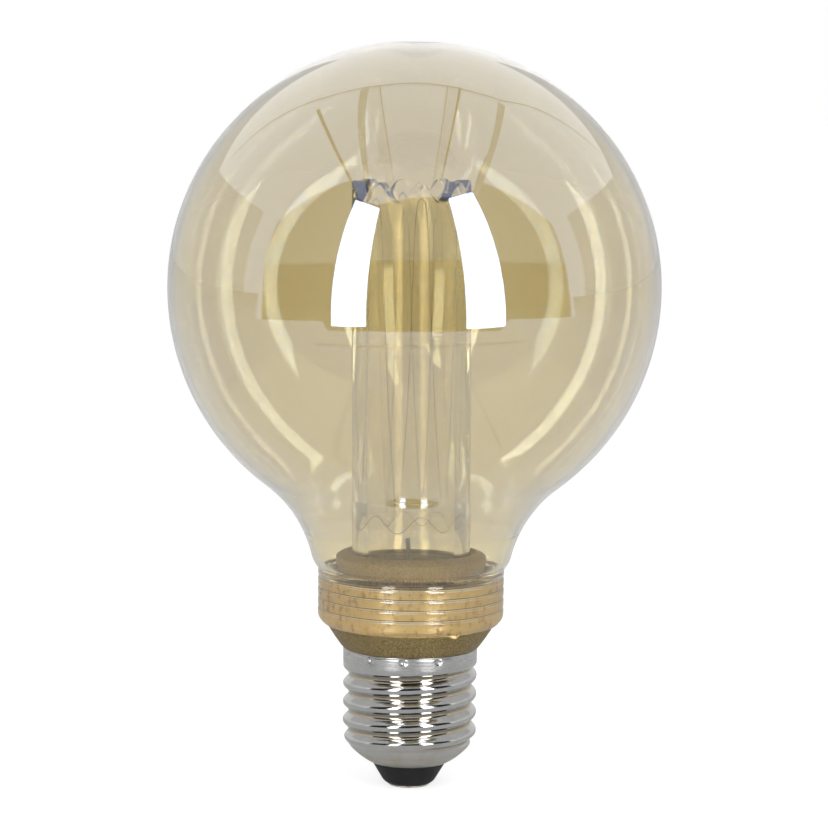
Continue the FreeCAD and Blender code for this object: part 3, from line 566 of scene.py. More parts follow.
# the collar and the centre ring have the housing's gold paint; their two materials are brighter
# copies of it, painted light that makes up for the light the glass keeps from them
ring_gold_painted_light = gold_paint("ring_gold_painted_light", colour(0.75, 0.64, 0.44), colour(0.97, 0.89, 0.70))
collar_gold_painted_light = gold_paint("collar_gold_painted_light", colour(0.50, 0.39, 0.21), colour(0.88, 0.74, 0.47))
glue = amber_glue()
nickel = nickel_plate()
insulator_black = black_insulator()
contact_metal = metal("contact_metal", colour(0.72, 0.68, 0.60), colour(0.80, 0.77, 0.70),
                      0.25, 0.4)
drawn_aluminium = metal("drawn_aluminium", colour(0.72, 0.73, 0.75),
                        colour(0.80, 0.81, 0.83), 0.25, 0.4)
tinned_wire = metal("tinned_wire", colour(0.62, 0.62, 0.61), colour(0.70, 0.70, 0.69),
                    0.2, 0.35)
solder = metal("solder", colour(0.66, 0.67, 0.68), colour(0.74, 0.75, 0.76), 0.15, 0.3)
copper_wire = metal("copper_wire", colour(0.62, 0.25, 0.11), colour(0.70, 0.30, 0.14),
                    0.2, 0.35, 0.12)
white_board = plain_body("white_board", colour(0.72, 0.73, 0.74), colour(0.78, 0.79, 0.80),
                         0.3, 0.45)
yellow_chip = plain_body("yellow_chip", colour(0.74, 0.45, 0.06), colour(0.80, 0.52, 0.09),
                         0.45, 0.6, 0.5)
green_board = plain_body("green_board", colour(0.02, 0.12, 0.045), colour(0.03, 0.15, 0.06),
                         0.3, 0.45)
black_sleeve = plain_body("black_sleeve", colour(0.02, 0.02, 0.025),
                          colour(0.03, 0.03, 0.035), 0.25, 0.4)
ferrite = plain_body("ferrite", colour(0.05, 0.05, 0.052), colour(0.075, 0.075, 0.078),
                     0.5, 0.7)
yellow_box = plain_body("yellow_box", colour(0.62, 0.40, 0.05), colour(0.68, 0.46, 0.07),
                        0.3, 0.45)
black_moulding = plain_body("black_moulding", colour(0.018, 0.018, 0.018),
                            colour(0.028, 0.028, 0.028), 0.4, 0.55)
pale_sleeve = plain_body("pale_sleeve", colour(0.90, 0.87, 0.80), colour(0.95, 0.92, 0.86),
                         0.45, 0.6, 0.6)
green_lacquer = plain_body("green_lacquer", colour(0.05, 0.20, 0.12),
                           colour(0.07, 0.25, 0.15), 0.25, 0.4)


# glass globe with its S curve, dimpled crown and grooved neck
def touching_centre(first, reach_a, second, reach_b):
    """Centre at given distances from two centres, on the outer side."""
    across = second[0] - first[0]
    up = second[1] - first[1]
    gap = math.hypot(across, up)
    along = (reach_a**2 - reach_b**2 + gap**2) / (2 * gap)
    aside = math.sqrt(reach_a**2 - along**2)
    side = 1 if up < 0 else -1
    return (
        first[0] + (across * along - up * aside * side) / gap,
        first[1] + (up * along + across * aside * side) / gap,
    )


def towards(centre, other, reach, distance):
    return (
        centre[0] + (other[0] - centre[0]) * distance / reach,
        centre[1] + (other[1] - centre[1]) * distance / reach,
    )


def globe_side(inset):
    """Arcs from the crown to the neck: end point, radius, turn and steps."""
    dimple_ball = 8.0
    rim_round = 2.0
    flare_round = 25.3
    shoulder_round = 5.7
    slant = math.radians(43.0)
    globe = (0.0, GLOBE_CENTRE)
    dimple_floor = GLOBE_CENTRE + GLOBE_RADIUS - 2.3
    dimple = (0.0, dimple_floor + dimple_ball)
    shoulder = (
        NECK_RADIUS - shoulder_round * math.cos(slant),
        NECK_TOP + shoulder_round * math.sin(slant),
    )
    rim = touching_centre(dimple, dimple_ball + rim_round, globe, GLOBE_RADIUS - rim_round)
    flare_reach = GLOBE_RADIUS + flare_round
    shoulder_reach = shoulder_round + flare_round
    flare = touching_centre(globe, flare_reach, shoulder, shoulder_reach)
    globe_size = GLOBE_RADIUS - inset
    dimple_size = dimple_ball + inset
    rim_start = towards(dimple, rim, dimple_ball + rim_round, dimple_size)
    rim_end = towards(globe, rim, GLOBE_RADIUS - rim_round, globe_size)
    equator = (globe_size, GLOBE_CENTRE)
    flare_start = towards(globe, flare, flare_reach, globe_size)
    flare_end = towards(shoulder, flare, shoulder_reach, shoulder_round - inset)
    neck_meet = (
        shoulder[0] + (shoulder_round - inset) * math.cos(slant),
        shoulder[1] - (shoulder_round - inset) * math.sin(slant),
    )
    return (0.0, dimple_floor - inset), [
        (rim_start, dimple_size, LEFT, 6),
        (rim_end, rim_round - inset, RIGHT, 8),
        (equator, globe_size, RIGHT, 56),
        (flare_start, globe_size, RIGHT, 32),
        (flare_end, flare_round + inset, LEFT, 22),
        (neck_meet, shoulder_round - inset, RIGHT, 14),
    ]


GLASS_WALL = 1.2
GROOVE_HALF = 0.375
GROOVE_DEPTH = 0.28
COAT_END = 50.6


def rib_heights():
    return [NECK_TOP - FIRST_RIB - index * RIB_PITCH for index in range(RIB_COUNT)]


def glass_globe():
    start, side = globe_side(0.0)
    outline = Outline(*start)
    for spot, radius, turn, steps in side:
        outline.arc(*spot, radius, turn, steps)
    for height in rib_heights():
        outline.to(NECK_RADIUS, height + GROOVE_HALF, 0.12)
        outline.to(NECK_RADIUS - GROOVE_DEPTH, height, 0.15)
        outline.to(NECK_RADIUS, height - GROOVE_HALF, 0.12)
    outline.to(NECK_RADIUS, NECK_BOTTOM + 1.6, 0.5)
    outline.to(NECK_RADIUS - 0.4, NECK_BOTTOM + 0.7, 0.5)
    outline.to(NECK_RADIUS - 1.1, NECK_BOTTOM, 0.2)
    outline.to(NECK_BORE, NECK_BOTTOM, 0.15)
    outline.to(NECK_BORE, NECK_TOP - 0.9, 0.3)
    start, side = globe_side(GLASS_WALL)
    corners = [start] + [arc[0] for arc in side]
    outline.to(*corners[-1])
    for index in range(len(side) - 1, -1, -1):
        radius, turn, steps = side[index][1:]
        outline.arc(*corners[index], radius, -turn, steps)
    made = piece("glass_globe", turned(outline, 192), glass)
    made.data.materials.append(bare_glass)
    for face in made.data.polygons:
        if face.center.z < COAT_END * MM:
            face.material_index = 1
    return stands_for(made, "globe_envelope")


# light guide: clear tube with a waved rim, and the filament etched into it
LEAN_ANGLE = -0.62
TUBE_FOOT = Vector((0, 0, TUBE_BOTTOM * MM))
LEAN_TURN = Matrix.Rotation(math.radians(LEAN_ANGLE), 4, "Y")
TUBE_LEAN = Matrix.Translation(TUBE_FOOT) @ LEAN_TURN @ Matrix.Translation(-TUBE_FOOT)
SCALLOP_DEPTH = 3.9


def scallop_drop(turn):
    """How far the rim lies below its tips, at a turn in degrees."""
    wave = math.cos(math.radians(SCALLOPS * (turn - FIRST_TIP)))
    return SCALLOP_DEPTH * (1 - wave) / 2


def light_guide():
    wall_end = TUBE_TOP - 8.0
    rim_start = TUBE_TOP - 1.0
    outline = Outline(TUBE_BORE, TUBE_BOTTOM)
    outline.to(TUBE_RADIUS, TUBE_BOTTOM, 0.15)
    outline.to(TUBE_RADIUS, wall_end)
    outline.to(TUBE_RADIUS, TUBE_TOP, 0.35)
    outline.to(TUBE_BORE, TUBE_TOP, 0.35)
    outline.to(TUBE_BORE, wall_end)
    outline.close()
    mesh = turned(outline, 192)
    for point in mesh.verts:
        if point.co.z > rim_start * MM:
            point.co.z -= scallop_drop(turn_of(point.co)) * MM
    bmesh.ops.transform(mesh, matrix=TUBE_LEAN, verts=mesh.verts)
    made = piece("light_guide", mesh, acrylic, 50.0)
    return stands_for(made, "light_guide_tube")


# one leg of an arch of the filament, from its crest down; turns are from the crest
LEG_HEIGHTS = (115.3, 114.5, 112.0, 106.9, 95.2, 87.4, 75.7, 64.0, 57.5, 55.2)
LEG_TURNS = (0.0, 3.5, 5.2, 6.9, 9.0, 10.5, 13.2, 17.3, 20.0, 22.5)
LEG_STEPS = 40
FINE_ABOVE = 110.0
FOOT_HEIGHT = 53.75
FOOT_SWING = 1.75
FOOT_DOTS = 45


def leg_route():
    """Fine points down one leg of the etched filament: turn and height."""
    route = []
    for index in range(len(LEG_HEIGHTS) - 1):
        high, low = LEG_HEIGHTS[index : index + 2]
        inner, outer = LEG_TURNS[index : index + 2]
        for step in range(LEG_STEPS):
            share = step / LEG_STEPS
            route.append((inner + (outer - inner) * share, high + (low - high) * share))
    return route


def etched_filament():
    """Rows of small etched dots, eight arches joined by turns at the foot."""
    mesh = bmesh.new()

    def dot(turn, height, size):
        angle = math.radians(turn)
        spot = Vector((math.sin(angle), -math.cos(angle), 0)) * TUBE_RADIUS * MM
        spot.z = height * MM
        facing = Matrix.Rotation(angle, 4, "Z")
        flat = Matrix.Diagonal((1, 0.25, 1, 1))
        bmesh.ops.create_icosphere(
            mesh, subdivisions=1, radius=size * MM,
            matrix=Matrix.Translation(spot) @ facing @ flat,
        )

    route = leg_route()
    for side in (LEFT, RIGHT):
        last = None
        for turn, height in route:
            across = math.radians(turn) * TUBE_RADIUS
            gap, size = (0.2, 0.10) if height > FINE_ABOVE else (0.56, 0.12)
            if last and math.hypot(across - last[0], height - last[1]) < gap:
                continue
            last = (across, height)
            dot(FIRST_TIP + side * turn, height, size)
    part = 360 / SCALLOPS
    for step in range(FOOT_DOTS):
        turn = step * part / FOOT_DOTS
        wave = math.cos(math.radians(SCALLOPS * turn))
        dot(FIRST_TIP + turn, FOOT_HEIGHT + FOOT_SWING * wave, 0.10)
    bmesh.ops.spin(
        mesh, geom=mesh.verts[:] + mesh.edges[:] + mesh.faces[:], cent=(0, 0, 0),
        axis=(0, 0, 1), angle=math.radians(360 - part), steps=SCALLOPS - 1,
        use_duplicate=True,
    )
    bmesh.ops.transform(mesh, matrix=TUBE_LEAN, verts=mesh.verts)
    made = piece("etched_filament", mesh, etched)
    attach(made, "root")
    return made


# screw cap
THREAD_PITCH = 3.629
THREAD_DEPTH = 1.10
THREAD_PHASE = 22.0
THREAD_CREST = 13.03
SKIRT_RADIUS = 13.05
SHELL_WALL = 0.35
PUNCH_SPACING = 30.0
FIRST_PUNCH = 25.0
PUNCH_DROP = 0.95
PUNCH_DEPTH = 0.32
PUNCH_SPREAD = 0.22


def thread_groove(spot):
    """Share of the thread's depth at a point of the plain shell."""
    turn = math.atan2(spot.y, spot.x) / (2 * math.pi)
    height = spot.z / MM
    steps = (height - THREAD_PHASE) / THREAD_PITCH - turn
    wave = 0.5 - 0.5 * math.cos(2 * math.pi * steps)
    run_in = ease(7.9, 9.7, height)
    run_out = 1 - ease(23.4, 24.6, height)
    return wave**1.25 * run_in * run_out


def punch_dent(spot):
    """Depth of the nearest punch mark, in millimetres."""
    half = PUNCH_SPACING / 2
    turn = (turn_of(spot) - FIRST_PUNCH + half) % PUNCH_SPACING - half
    across = math.radians(turn) * SKIRT_RADIUS
    up = spot.z / MM - (SKIRT_TOP - PUNCH_DROP)
    return PUNCH_DEPTH * math.exp(-(across**2 + up**2) / PUNCH_SPREAD)


def screw_shell():
    outline = Outline(7.72, 4.9)
    outline.arc(11.6, 7.95, 14.0, LEFT, 16)
    outline.rows(12.45, 8.95, 6)
    outline.rows(12.88, 9.9, 6)
    outline.rows(THREAD_CREST, 10.6, 4)
    outline.rows(THREAD_CREST, 24.0, 82)
    outline.rows(SKIRT_RADIUS, 24.6, 3)
    outline.rows(SKIRT_RADIUS, 27.0, 14)
    outline.to(12.98, 27.1)
    outline.to(13.10, 27.22)
    outline.to(13.12, 27.38)
    outline.to(13.02, SKIRT_TOP)
    mesh = turned(outline, 288)
    for point in mesh.verts:
        dent = THREAD_DEPTH * thread_groove(point.co) + punch_dent(point.co)
        if dent > 0.001:
            flat = Vector((point.co.x, point.co.y, 0)).normalized()
            point.co -= flat * dent * MM
    made = piece("screw_shell", mesh, nickel, 60.0)
    wall = made.modifiers.new("sheet", "SOLIDIFY")
    wall.thickness = SHELL_WALL * MM
    wall.offset = -1.0
    return stands_for(made, "cap_shell")


def insulator():
    outline = Outline(1.15, 0.4)
    outline.to(3.95, 0.4)
    outline.arc(5.3, 1.5, 2.2, LEFT, 8)
    outline.to(7.25, 4.75, 0.1)
    outline.to(7.38, 4.95)
    outline.to(10.2, 7.7, 0.2)
    outline.to(1.5, 7.7, 0.1)
    outline.to(1.15, 7.35)
    outline.close()
    made = piece("insulator", turned(outline, 128), insulator_black)
    return stands_for(made, "cap_insulator")


def contact_rivet():
    outline = Outline(0.0, 0.0)
    outline.to(3.8, 0.0, 0.3)
    outline.to(4.0, 0.2, 0.08)
    outline.to(4.0, 0.4, 0.05)
    outline.to(1.1, 0.4)
    outline.to(1.1, 7.0, 0.1)
    outline.to(0.35, 7.0, 0.1)
    outline.to(0.35, 0.8)
    outline.to(0.0, 0.8)
    made = piece("contact_rivet", turned(outline, 96), contact_metal)
    return stands_for(made, "centre_contact")


# housing, glue, collar and centre ring
SPIGOT_EDGE = 0.55
RIB_FLANK = 0.55
SEAT_RADIUS = 14.4
SLOT_HALF = 0.45
SLOT_DEPTH = 0.6
SLOT_TOP = 18.95


def spigot_corners(outline):
    """Ribs of the spigot and its foot, down to the brim."""
    for height in rib_heights()[1:]:
        outline.to(RIB_CREST, height + RIB_FLANK, 0.1)
        outline.to(RIB_FLOOR, height, 0.15)
        outline.to(RIB_CREST, height - RIB_FLANK, 0.1)
    outline.to(RIB_CREST, BRIM_TOP + 1.0)
    outline.to(RIB_FLOOR, BRIM_TOP + 0.45)
    outline.to(RIB_FLOOR, BRIM_TOP)


def painted_housing():
    skirt_plug = 12.58
    thread_plug = 11.48
    outline = Outline(SEAT_RADIUS, SPIGOT_TOP)
    outline.to(RIB_CREST - SPIGOT_EDGE, SPIGOT_TOP)
    outline.to(RIB_CREST, SPIGOT_TOP - SPIGOT_EDGE, 0.15)
    spigot_corners(outline)
    outline.to(BRIM_RADIUS, BRIM_TOP, 0.12)
    outline.to(BRIM_RADIUS, BRIM_TOP - 0.2)
    outline.arc(13.55, SKIRT_TOP + 0.45, 40.0, RIGHT, 14)
    outline.to(13.1, SKIRT_TOP, 0.1)
    outline.to(skirt_plug, SKIRT_TOP)
    outline.to(skirt_plug, 24.45)
    outline.to(thread_plug, 23.35)
    outline.to(thread_plug, SLOT_TOP + 0.05)
    outline.to(thread_plug, SLOT_TOP - 0.05)
    outline.to(thread_plug, 13.0)
    outline.to(9.9, 13.0)
    outline.to(9.9, 25.7)
    outline.to(13.0, LEDGE_TOP - 1.4)
    outline.to(13.0, LEDGE_TOP)
    outline.to(SEAT_RADIUS, LEDGE_TOP)
    outline.close()
    mesh = turned(outline, 192)
    for point in mesh.verts:
        spot = point.co / MM
        in_slot = spot.x > 0 and abs(spot.y) < SLOT_HALF and spot.z < SLOT_TOP
        if in_slot and math.hypot(spot.x, spot.y) > thread_plug - 0.5:
            point.co.x -= SLOT_DEPTH * MM
    made = piece("painted_housing", mesh, gold)
    return stands_for(made, "base_housing")


def glue_bead():
    """Glue in the grooves and the uneven bead squeezed out below the glass."""
    drop_turn = 29.6
    drop_width = 2.6
    outline = Outline(RIB_CREST - 0.5, SPIGOT_TOP - 0.05)
    outline.to(RIB_CREST, SPIGOT_TOP - SPIGOT_EDGE)
    spigot_corners(outline)
    outline.to(BRIM_RADIUS, BRIM_TOP)
    outline.rows(16.95, NECK_BOTTOM + 0.05, 4)
    outline.to(NECK_BORE + 0.04, NECK_BOTTOM + 0.05)
    outline.to(NECK_BORE + 0.04, SPIGOT_TOP - 0.05)
    outline.close()
    mesh = turned(outline, 192)
    for point in mesh.verts:
        spot = point.co / MM
        reach = math.hypot(spot.x, spot.y)
        if spot.z > NECK_BOTTOM - 0.01 or reach < 16.0:
            continue
        turn = turn_of(spot)
        swell = 0.16 + 0.14 * noise.noise(Vector((turn / 9, 3.1, 0)))
        drop = math.exp(-((turn - drop_turn) / drop_width) ** 2)
        flat = Vector((spot.x, spot.y, 0)).normalized()
        point.co += flat * (swell + 0.7 * drop) * MM
        point.co.z -= 0.5 * drop * MM
    made = piece("glue_bead", mesh, glue, 45.0)
    return stands_for(made, "neck_adhesive")


def guide_collar():
    """Ring that stands on the heat sink, round the board and the tube's foot."""
    foot_bore = 13.1
    foot_radius = 14.35
    lip_radius = 14.6
    bore = TUBE_RADIUS + 0.15
    outline = Outline(foot_bore, SINK_TOP)
    outline.to(foot_radius - 0.6, SINK_TOP)
    outline.to(foot_radius, SINK_TOP + 0.6)
    outline.to(foot_radius, SPIGOT_TOP + 0.01)
    outline.to(lip_radius, SPIGOT_TOP + 0.01)
    outline.to(lip_radius, BOARD_TOP + 4.1, 0.2)
    outline.arc(12.5, BOARD_TOP + 5.2, 3.3, LEFT, 10)
    outline.to(bore, BOARD_TOP + 4.8, 0.12)
    outline.to(bore, BOARD_TOP)
    outline.to(foot_bore, BOARD_TOP)
    outline.close()
    # its gold is a brighter copy of the housing's paint: painted light
    made = piece("guide_collar", turned(outline, 192), collar_gold_painted_light)
    return stands_for(made, "light_guide_collar")


def inner_ring():
    top = BOARD_TOP + 4.6
    step = BOARD_TOP + 3.7
    radius = TUBE_BORE - 0.15
    outline = Outline(7.2, BOARD_TOP)
    outline.to(radius, BOARD_TOP)
    outline.to(radius, top, 0.3)
    outline.to(7.65, top, 0.15)
    outline.to(7.65, step, 0.08)
    outline.to(7.2, step, 0.12)
    outline.close()
    # its gold is a brighter copy of the housing's paint: painted light
    made = piece("inner_ring", turned(outline, 160), ring_gold_painted_light)
    return stands_for(made, "centre_ring")


glass_globe()
light_guide()
etched_filament()
screw_shell()
insulator()
contact_rivet()
painted_housing()
glue_bead()
guide_collar()
inner_ring()

# pieces inside that keep their own shape
FINISHES = {
    "heat_sink": drawn_aluminium,
    "led_board": white_board,
    "led_chips": yellow_chip,
    "driver_board": green_board,
    "electrolytic_capacitor": black_sleeve,
    "choke_core": ferrite,
    "choke_winding": copper_wire,
    "film_capacitor": yellow_box,
    "bridge_rectifier": black_moulding,
    "driver_chip": black_moulding,
    "chip_resistors": black_moulding,
    "led_feed_lead": pale_sleeve,
    "led_return_lead": tinned_wire,
    "led_solder_joints": solder,
    "fuse_resistor": green_lacquer,
    "contact_lead": tinned_wire,
    "shell_lead": tinned_wire,
    "globe_envelope": glass,
    "light_guide_tube": acrylic,
    "cap_shell": nickel,
    "cap_insulator": insulator_black,
    "centre_contact": contact_metal,
    "base_housing": gold,
    "neck_adhesive": glue,
    "light_guide_collar": collar_gold_painted_light,
    "centre_ring": ring_gold_painted_light,
}
for node_name, finish in FINISHES.items():
    for finish_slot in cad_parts[node_name].material_slots:
        finish_slot.material = finish


# studio: white table and backdrop, two tall strip lights, a dark room behind
# the camera that only reflections show
def flat_panel(name, corners, material):
    mesh = bmesh.new()
    points = [mesh.verts.new(corner) for corner in corners]
    mesh.faces.new(points)
    made = piece(name, mesh, material)
    return made


def ray_shares(tree):
    """Rays that look, mirrored ones, and those that only clear surfaces turned."""
    path = tree.nodes.new("ShaderNodeLightPath").outputs
    seen = maths(tree, "MAXIMUM", path["Is Camera Ray"], path["Is Glossy Ray"])
    seen = maths(tree, "MAXIMUM", seen, path["Is Transmission Ray"])
    mirrored = maths(tree, "GREATER_THAN", path["Glossy Depth"], 0.5)
    return seen, mirrored, path["Is Singular Ray"]


def table_white():
    """White table that keeps the bulb's shadow and shows white all round it."""
    made, tree, shader = new_material("table_white", {
        "Roughness": 0.9,
        "Specular IOR Level": 0.0,
        "Emission Color": colour(1, 1, 1),
    })
    tinted(tree, shader, 40.0, colour(0.49, 0.49, 0.49), colour(0.51, 0.51, 0.51), 0.3)
    seen_level = 0.70
    front_level = 0.12
    back_level = 0.24
    behind_globe_level = 0.55
    seen, mirrored, _ = ray_shares(tree)
    depth = tree.nodes.new("ShaderNodeLightPath").outputs["Transmission Depth"]
    behind_globe = between(tree, depth, 2.0, 3.0, back_level, behind_globe_level)
    in_mirror = between(tree, place_parts(tree)["Y"], -0.05, 0.12, front_level, behind_globe)
    level = mixed_value(tree, mirrored, seen_level, in_mirror)
    strength = maths(tree, "MULTIPLY", seen, level)
    tree.links.new(strength, shader["Emission Strength"])
    return made


def reflected_only(name, sharp_level, rough_level):
    """A surface of the room that only reflections show, clear or blurred."""
    made = bpy.data.materials.new(name)
    made.use_nodes = True
    tree = made.node_tree
    tree.nodes.clear()
    _, mirrored, sharp = ray_shares(tree)
    level = between(tree, sharp, 0.0, 1.0, rough_level, sharp_level)
    clear = tree.nodes.new("ShaderNodeBsdfTransparent").outputs[0]
    lit = add(tree, "ShaderNodeEmission", Strength=level).outputs[0]
    mixed = tree.nodes.new("ShaderNodeMixShader")
    tree.links.new(mirrored, mixed.inputs[0])
    tree.links.new(clear, mixed.inputs[1])
    tree.links.new(lit, mixed.inputs[2])
    out = tree.nodes.new("ShaderNodeOutputMaterial")
    tree.links.new(mixed.outputs[0], out.inputs["Surface"])
    return made


def studio_table():
    """Table top, round in front of the bulb and going back without an edge.

    Its front edge is given by turns in degrees and reaches in metres.
    """
    corners = [(-4, 4, 0), (-4, -1.05, 0)]
    rings = ((-75, 0.55), (-58, 0.54), (-41, 0.55), (-38, 0.40), (-20, 0.40), (0, 0.40),
             (20, 0.41), (38, 0.42), (43, 0.65), (60, 0.66), (77, 0.70))
    for turn, reach in rings:
        angle = math.radians(turn)
        corners.append((reach * math.sin(angle), -reach * math.cos(angle), 0))
    corners += [(4, -0.95, 0), (4, 4, 0)]
    return flat_panel("table", corners, table_white())


# the room's front wall and roof, in metres
ROOM_FRONT = -3.0
ROOF = 2.1


def room_front():
    """Dark room behind the camera, as its opening looks from the bulb."""
    floor = ((-10.7, -3.0), (-10.7, -1.9), (-9.96, 0.1))
    wall_foot = ((-9.96, 1.9), (-6.42, 1.38), (-4.2, 1.15), (-2.94, 1.07), (0, 1.02),
                 (3.0, 1.18), (4.3, 1.34), (6.3, 1.58), (10.6, 2.2))
    top = ((10.2, 4.3), (9.36, 7.8), (7.8, 9.8), (6.1, 11.2), (-5.9, 10.9), (-8.1, 10.2),
           (-9.7, 8.6), (-10.4, 6.4), (-9.96, 2.8))
    side = ((10.98, 0.7), (12.9, -1.9), (12.9, -3.0))
    lower = floor + wall_foot + side
    upper = wall_foot + top
    dark = reflected_only("dark_room", 0.0, 0.02)
    dim = reflected_only("dim_room", 0.2, 0.02)
    return [
        flat_panel("dark_room", [(x, ROOM_FRONT, z) for x, z in lower], dark),
        flat_panel("dim_room", [(x, ROOM_FRONT, z) for x, z in upper], dim),
    ]


def roof_strip(name, material, left, right, front, back, drop=0.01, slant=0.0):
    corners = [(left + slant, front, ROOF - drop), (right + slant, front, ROOF - drop),
               (right, back, ROOF - drop), (left, back, ROOF - drop)]
    return flat_panel(name, corners, material)


def room_roof():
    """Pale roof with dark gaps and thin lights between its panels."""
    pale = reflected_only("roof_panel", 0.95, 0.62)
    dark = reflected_only("roof_gap", 0.08, 0.3)
    edge = ((-1.12, 0.84), (-1.12, -1.16), (-1.2, -1.8), (-0.83, -2.1), (0, -1.93),
            (0.66, -1.85), (0.95, -1.65), (1.1, -1.5), (1.04, -1.05), (0.94, 0.84))
    panels = [flat_panel("roof_panel", [(x, y, ROOF) for x, y in edge], pale)]
    soft = reflected_only("roof_soft", 1.0, 0.62)
    for name, left, right in (("roof_left", -4, -1.17), ("roof_right", 1.1, 4)):
        panels.append(roof_strip(name, soft, left, right, -1.2, 0.84, 0.0))
    panels.append(roof_strip("roof_back", soft, -4, 4, 0.86, 4, -0.01))
    gaps = (("dark", -1.17, -1.12, -1.3, 0.0), ("band", -0.53, -0.36, -1.6, 0.0),
            ("band", 0.29, 0.47, -1.6, 0.0), ("seam", -0.59, -0.49, -1.85, -0.39),
            ("dark", -0.385, -0.377, -1.5, 0.0), ("dark", 0.31, 0.317, -1.5, 0.0),
            ("dark", 0.43, 0.455, -1.3, 0.0), ("seam", 0.89, 0.99, -1.6, 0.25))
    kinds = {"dark": dark, "band": reflected_only("roof_band", 0.80, 0.62),
             "seam": reflected_only("roof_seam", 0.38, 0.45)}
    for index, (kind, left, right, front, slant) in enumerate(gaps):
        name = f"roof_gap_{index + 1}"
        drop = 0.005 if kind == "band" else 0.01
        panels.append(roof_strip(name, kinds[kind], left, right, front, 0.84, drop, slant))
    line = ((-3.3, 3.08), (-1.37, 1.36), (-0.95, 1.03), (-0.63, 0.88), (-0.33, 0.79),
            (-0.05, 0.78), (0.24, 0.77), (0.56, 0.79), (0.92, 0.90), (1.31, 1.37),
            (1.84, 1.98), (2.33, 2.57), (3.07, 3.57))
    corners = [(x, y, ROOF - 0.02) for x, y in line]
    corners += [(x, y + 0.035, ROOF - 0.02) for x, y in reversed(line)]
    panels.append(flat_panel("roof_back_line", corners, dark))
    return panels


def room_sides():
    """Dimmer sides of the room, beyond the table."""
    grey = reflected_only("room_side", 0.60, 0.80)
    walls = []
    for name, side in (("room_left", -1), ("room_right", 1)):
        for number, (first, second) in enumerate((((4, -0.4), (4, 4)), ((4, 4), (0.8, 4)))):
            corners = [(side * first[0], first[1], 0), (side * second[0], second[1], 0),
                       (side * second[0], second[1], ROOF), (side * first[0], first[1], ROOF)]
            walls.append(flat_panel(f"{name}_{number + 1}", corners, grey))
    return walls


def turntable_edge():
    """Thin line on the table where its turning disc ends."""
    outline = Outline(376.0, 0.5)
    outline.to(392.0, 0.5)
    mesh = outline.mesh
    reach = math.radians(70)
    bmesh.ops.rotate(mesh, verts=mesh.verts, cent=(0, 0, 0),
                     matrix=Matrix.Rotation(-math.pi / 2 - reach / 2, 3, "Z"))
    bmesh.ops.spin(mesh, geom=mesh.verts[:] + mesh.edges[:], cent=(0, 0, 0),
                   axis=(0, 0, 1), angle=reach, steps=40)
    bmesh.ops.translate(mesh, verts=mesh.verts, vec=(0.025, 0.11, 0))
    made = piece("turntable_edge", mesh, reflected_only("turntable_edge", 0.46, 0.46))
    return made


STRIP_LEVEL = 5.5
HIDDEN_BELOW = 0.03


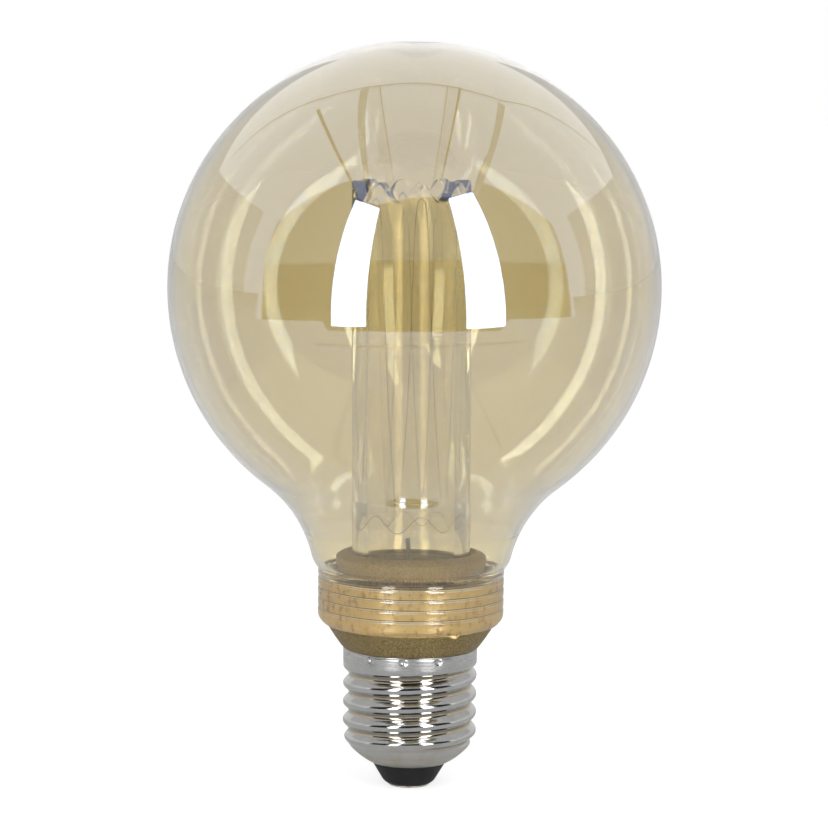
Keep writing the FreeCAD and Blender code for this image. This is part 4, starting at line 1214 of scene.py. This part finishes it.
def strip_light(name, foot, head, low, high, inner_level):
    """Tall strip light; its foot and head are edges from the inner to the outer end.

    Its image that the glass mirrors twice is brighter, and its lower end is hidden
    from what lies behind the globe.
    """
    feet = [Vector((*end, low)) for end in foot]
    heads = [Vector((*end, high)) for end in head]
    across = ((feet[1] - feet[0]) + (heads[1] - heads[0])) / 2
    rise = ((heads[0] - feet[0]) + (heads[1] - feet[1])) / 2
    lamp = bpy.data.lights.new(name, "AREA")
    lamp.shape = "RECTANGLE"
    lamp.size = across.length
    lamp.size_y = rise.length
    lamp.energy = 1.0
    lamp.use_nodes = True
    tree = lamp.node_tree
    path = tree.nodes.new("ShaderNodeLightPath").outputs
    twice = maths(tree, "GREATER_THAN", path["Glossy Depth"], 1.5)
    in_glass = maths(tree, "GREATER_THAN", path["Transmission Depth"], 0.5)
    both = maths(tree, "MULTIPLY", twice, in_glass)
    level = between(tree, both, 0.0, 1.0, STRIP_LEVEL, inner_level)
    spot = tree.nodes.new("ShaderNodeNewGeometry").outputs["Position"]
    up = add(tree, "ShaderNodeSeparateXYZ", Vector=spot).outputs["Z"]
    below = between(tree, up, HIDDEN_BELOW, HIDDEN_BELOW - 0.08)
    behind_globe = maths(tree, "GREATER_THAN", path["Transmission Depth"], 2.5)
    once = maths(tree, "SUBTRACT", 1.0, both)
    hidden = maths(tree, "MULTIPLY", maths(tree, "MULTIPLY", below, behind_globe), once)
    level = maths(tree, "MULTIPLY", level, maths(tree, "SUBTRACT", 1.0, hidden))
    # a lamp spreads its strength over four times its area
    level = maths(tree, "MULTIPLY", level, 4.0 * lamp.size * lamp.size_y)
    tree.links.new(level, tree.nodes["Emission"].inputs["Strength"])
    holder = bpy.data.objects.new(name, lamp)
    middle = (feet[0] + feet[1] + heads[0] + heads[1]) / 4
    facing = across.cross(rise).normalized()
    if facing.dot(middle) < 0:
        facing.negate()
    holder.location = middle
    upright = rise.normalized()
    side = upright.cross(facing)
    holder.rotation_euler = Matrix((side, upright, facing)).transposed().to_euler()
    holder.visible_camera = False
    bpy.context.collection.objects.link(holder)


def studio_world():
    world = bpy.data.worlds.new("studio")
    world.use_nodes = True
    tree = world.node_tree
    soft = tree.nodes["Background"]
    soft.inputs["Color"].default_value = colour(1, 1, 1)
    soft.inputs["Strength"].default_value = 0.62
    white = add(tree, "ShaderNodeBackground", Color=colour(1, 1, 1), Strength=1.0)
    mixed = tree.nodes.new("ShaderNodeMixShader")
    tree.links.new(ray_shares(tree)[0], mixed.inputs[0])
    tree.links.new(soft.outputs[0], mixed.inputs[1])
    tree.links.new(white.outputs[0], mixed.inputs[2])
    tree.links.new(mixed.outputs[0], tree.nodes["World Output"].inputs["Surface"])
    bpy.context.scene.world = world


studio_table()
for panel in [*room_front(), *room_sides(), *room_roof(), turntable_edge()]:
    panel.visible_camera = False
    panel.visible_diffuse = False
    panel.visible_shadow = False
    panel.visible_volume_scatter = False
strip_light("strip_light_left", foot=[(-0.45, -1.15), (-0.72, -0.93)],
            head=[(-0.46, -1.26), (-0.70, -1.02)], low=-0.17, high=1.215, inner_level=16.5)
strip_light("strip_light_right", foot=[(0.47, -1.05), (0.758, -0.86)],
            head=[(0.453, -1.30), (0.759, -1.066)], low=-0.155, high=1.47, inner_level=12.0)
studio_world()

scene = bpy.context.scene
scene.view_settings.view_transform = "Standard"
scene.cycles.max_bounces = 32
scene.cycles.transmission_bounces = 24
scene.cycles.glossy_bounces = 16
scene.cycles.diffuse_bounces = 3
scene.cycles.sample_clamp_indirect = 0.0
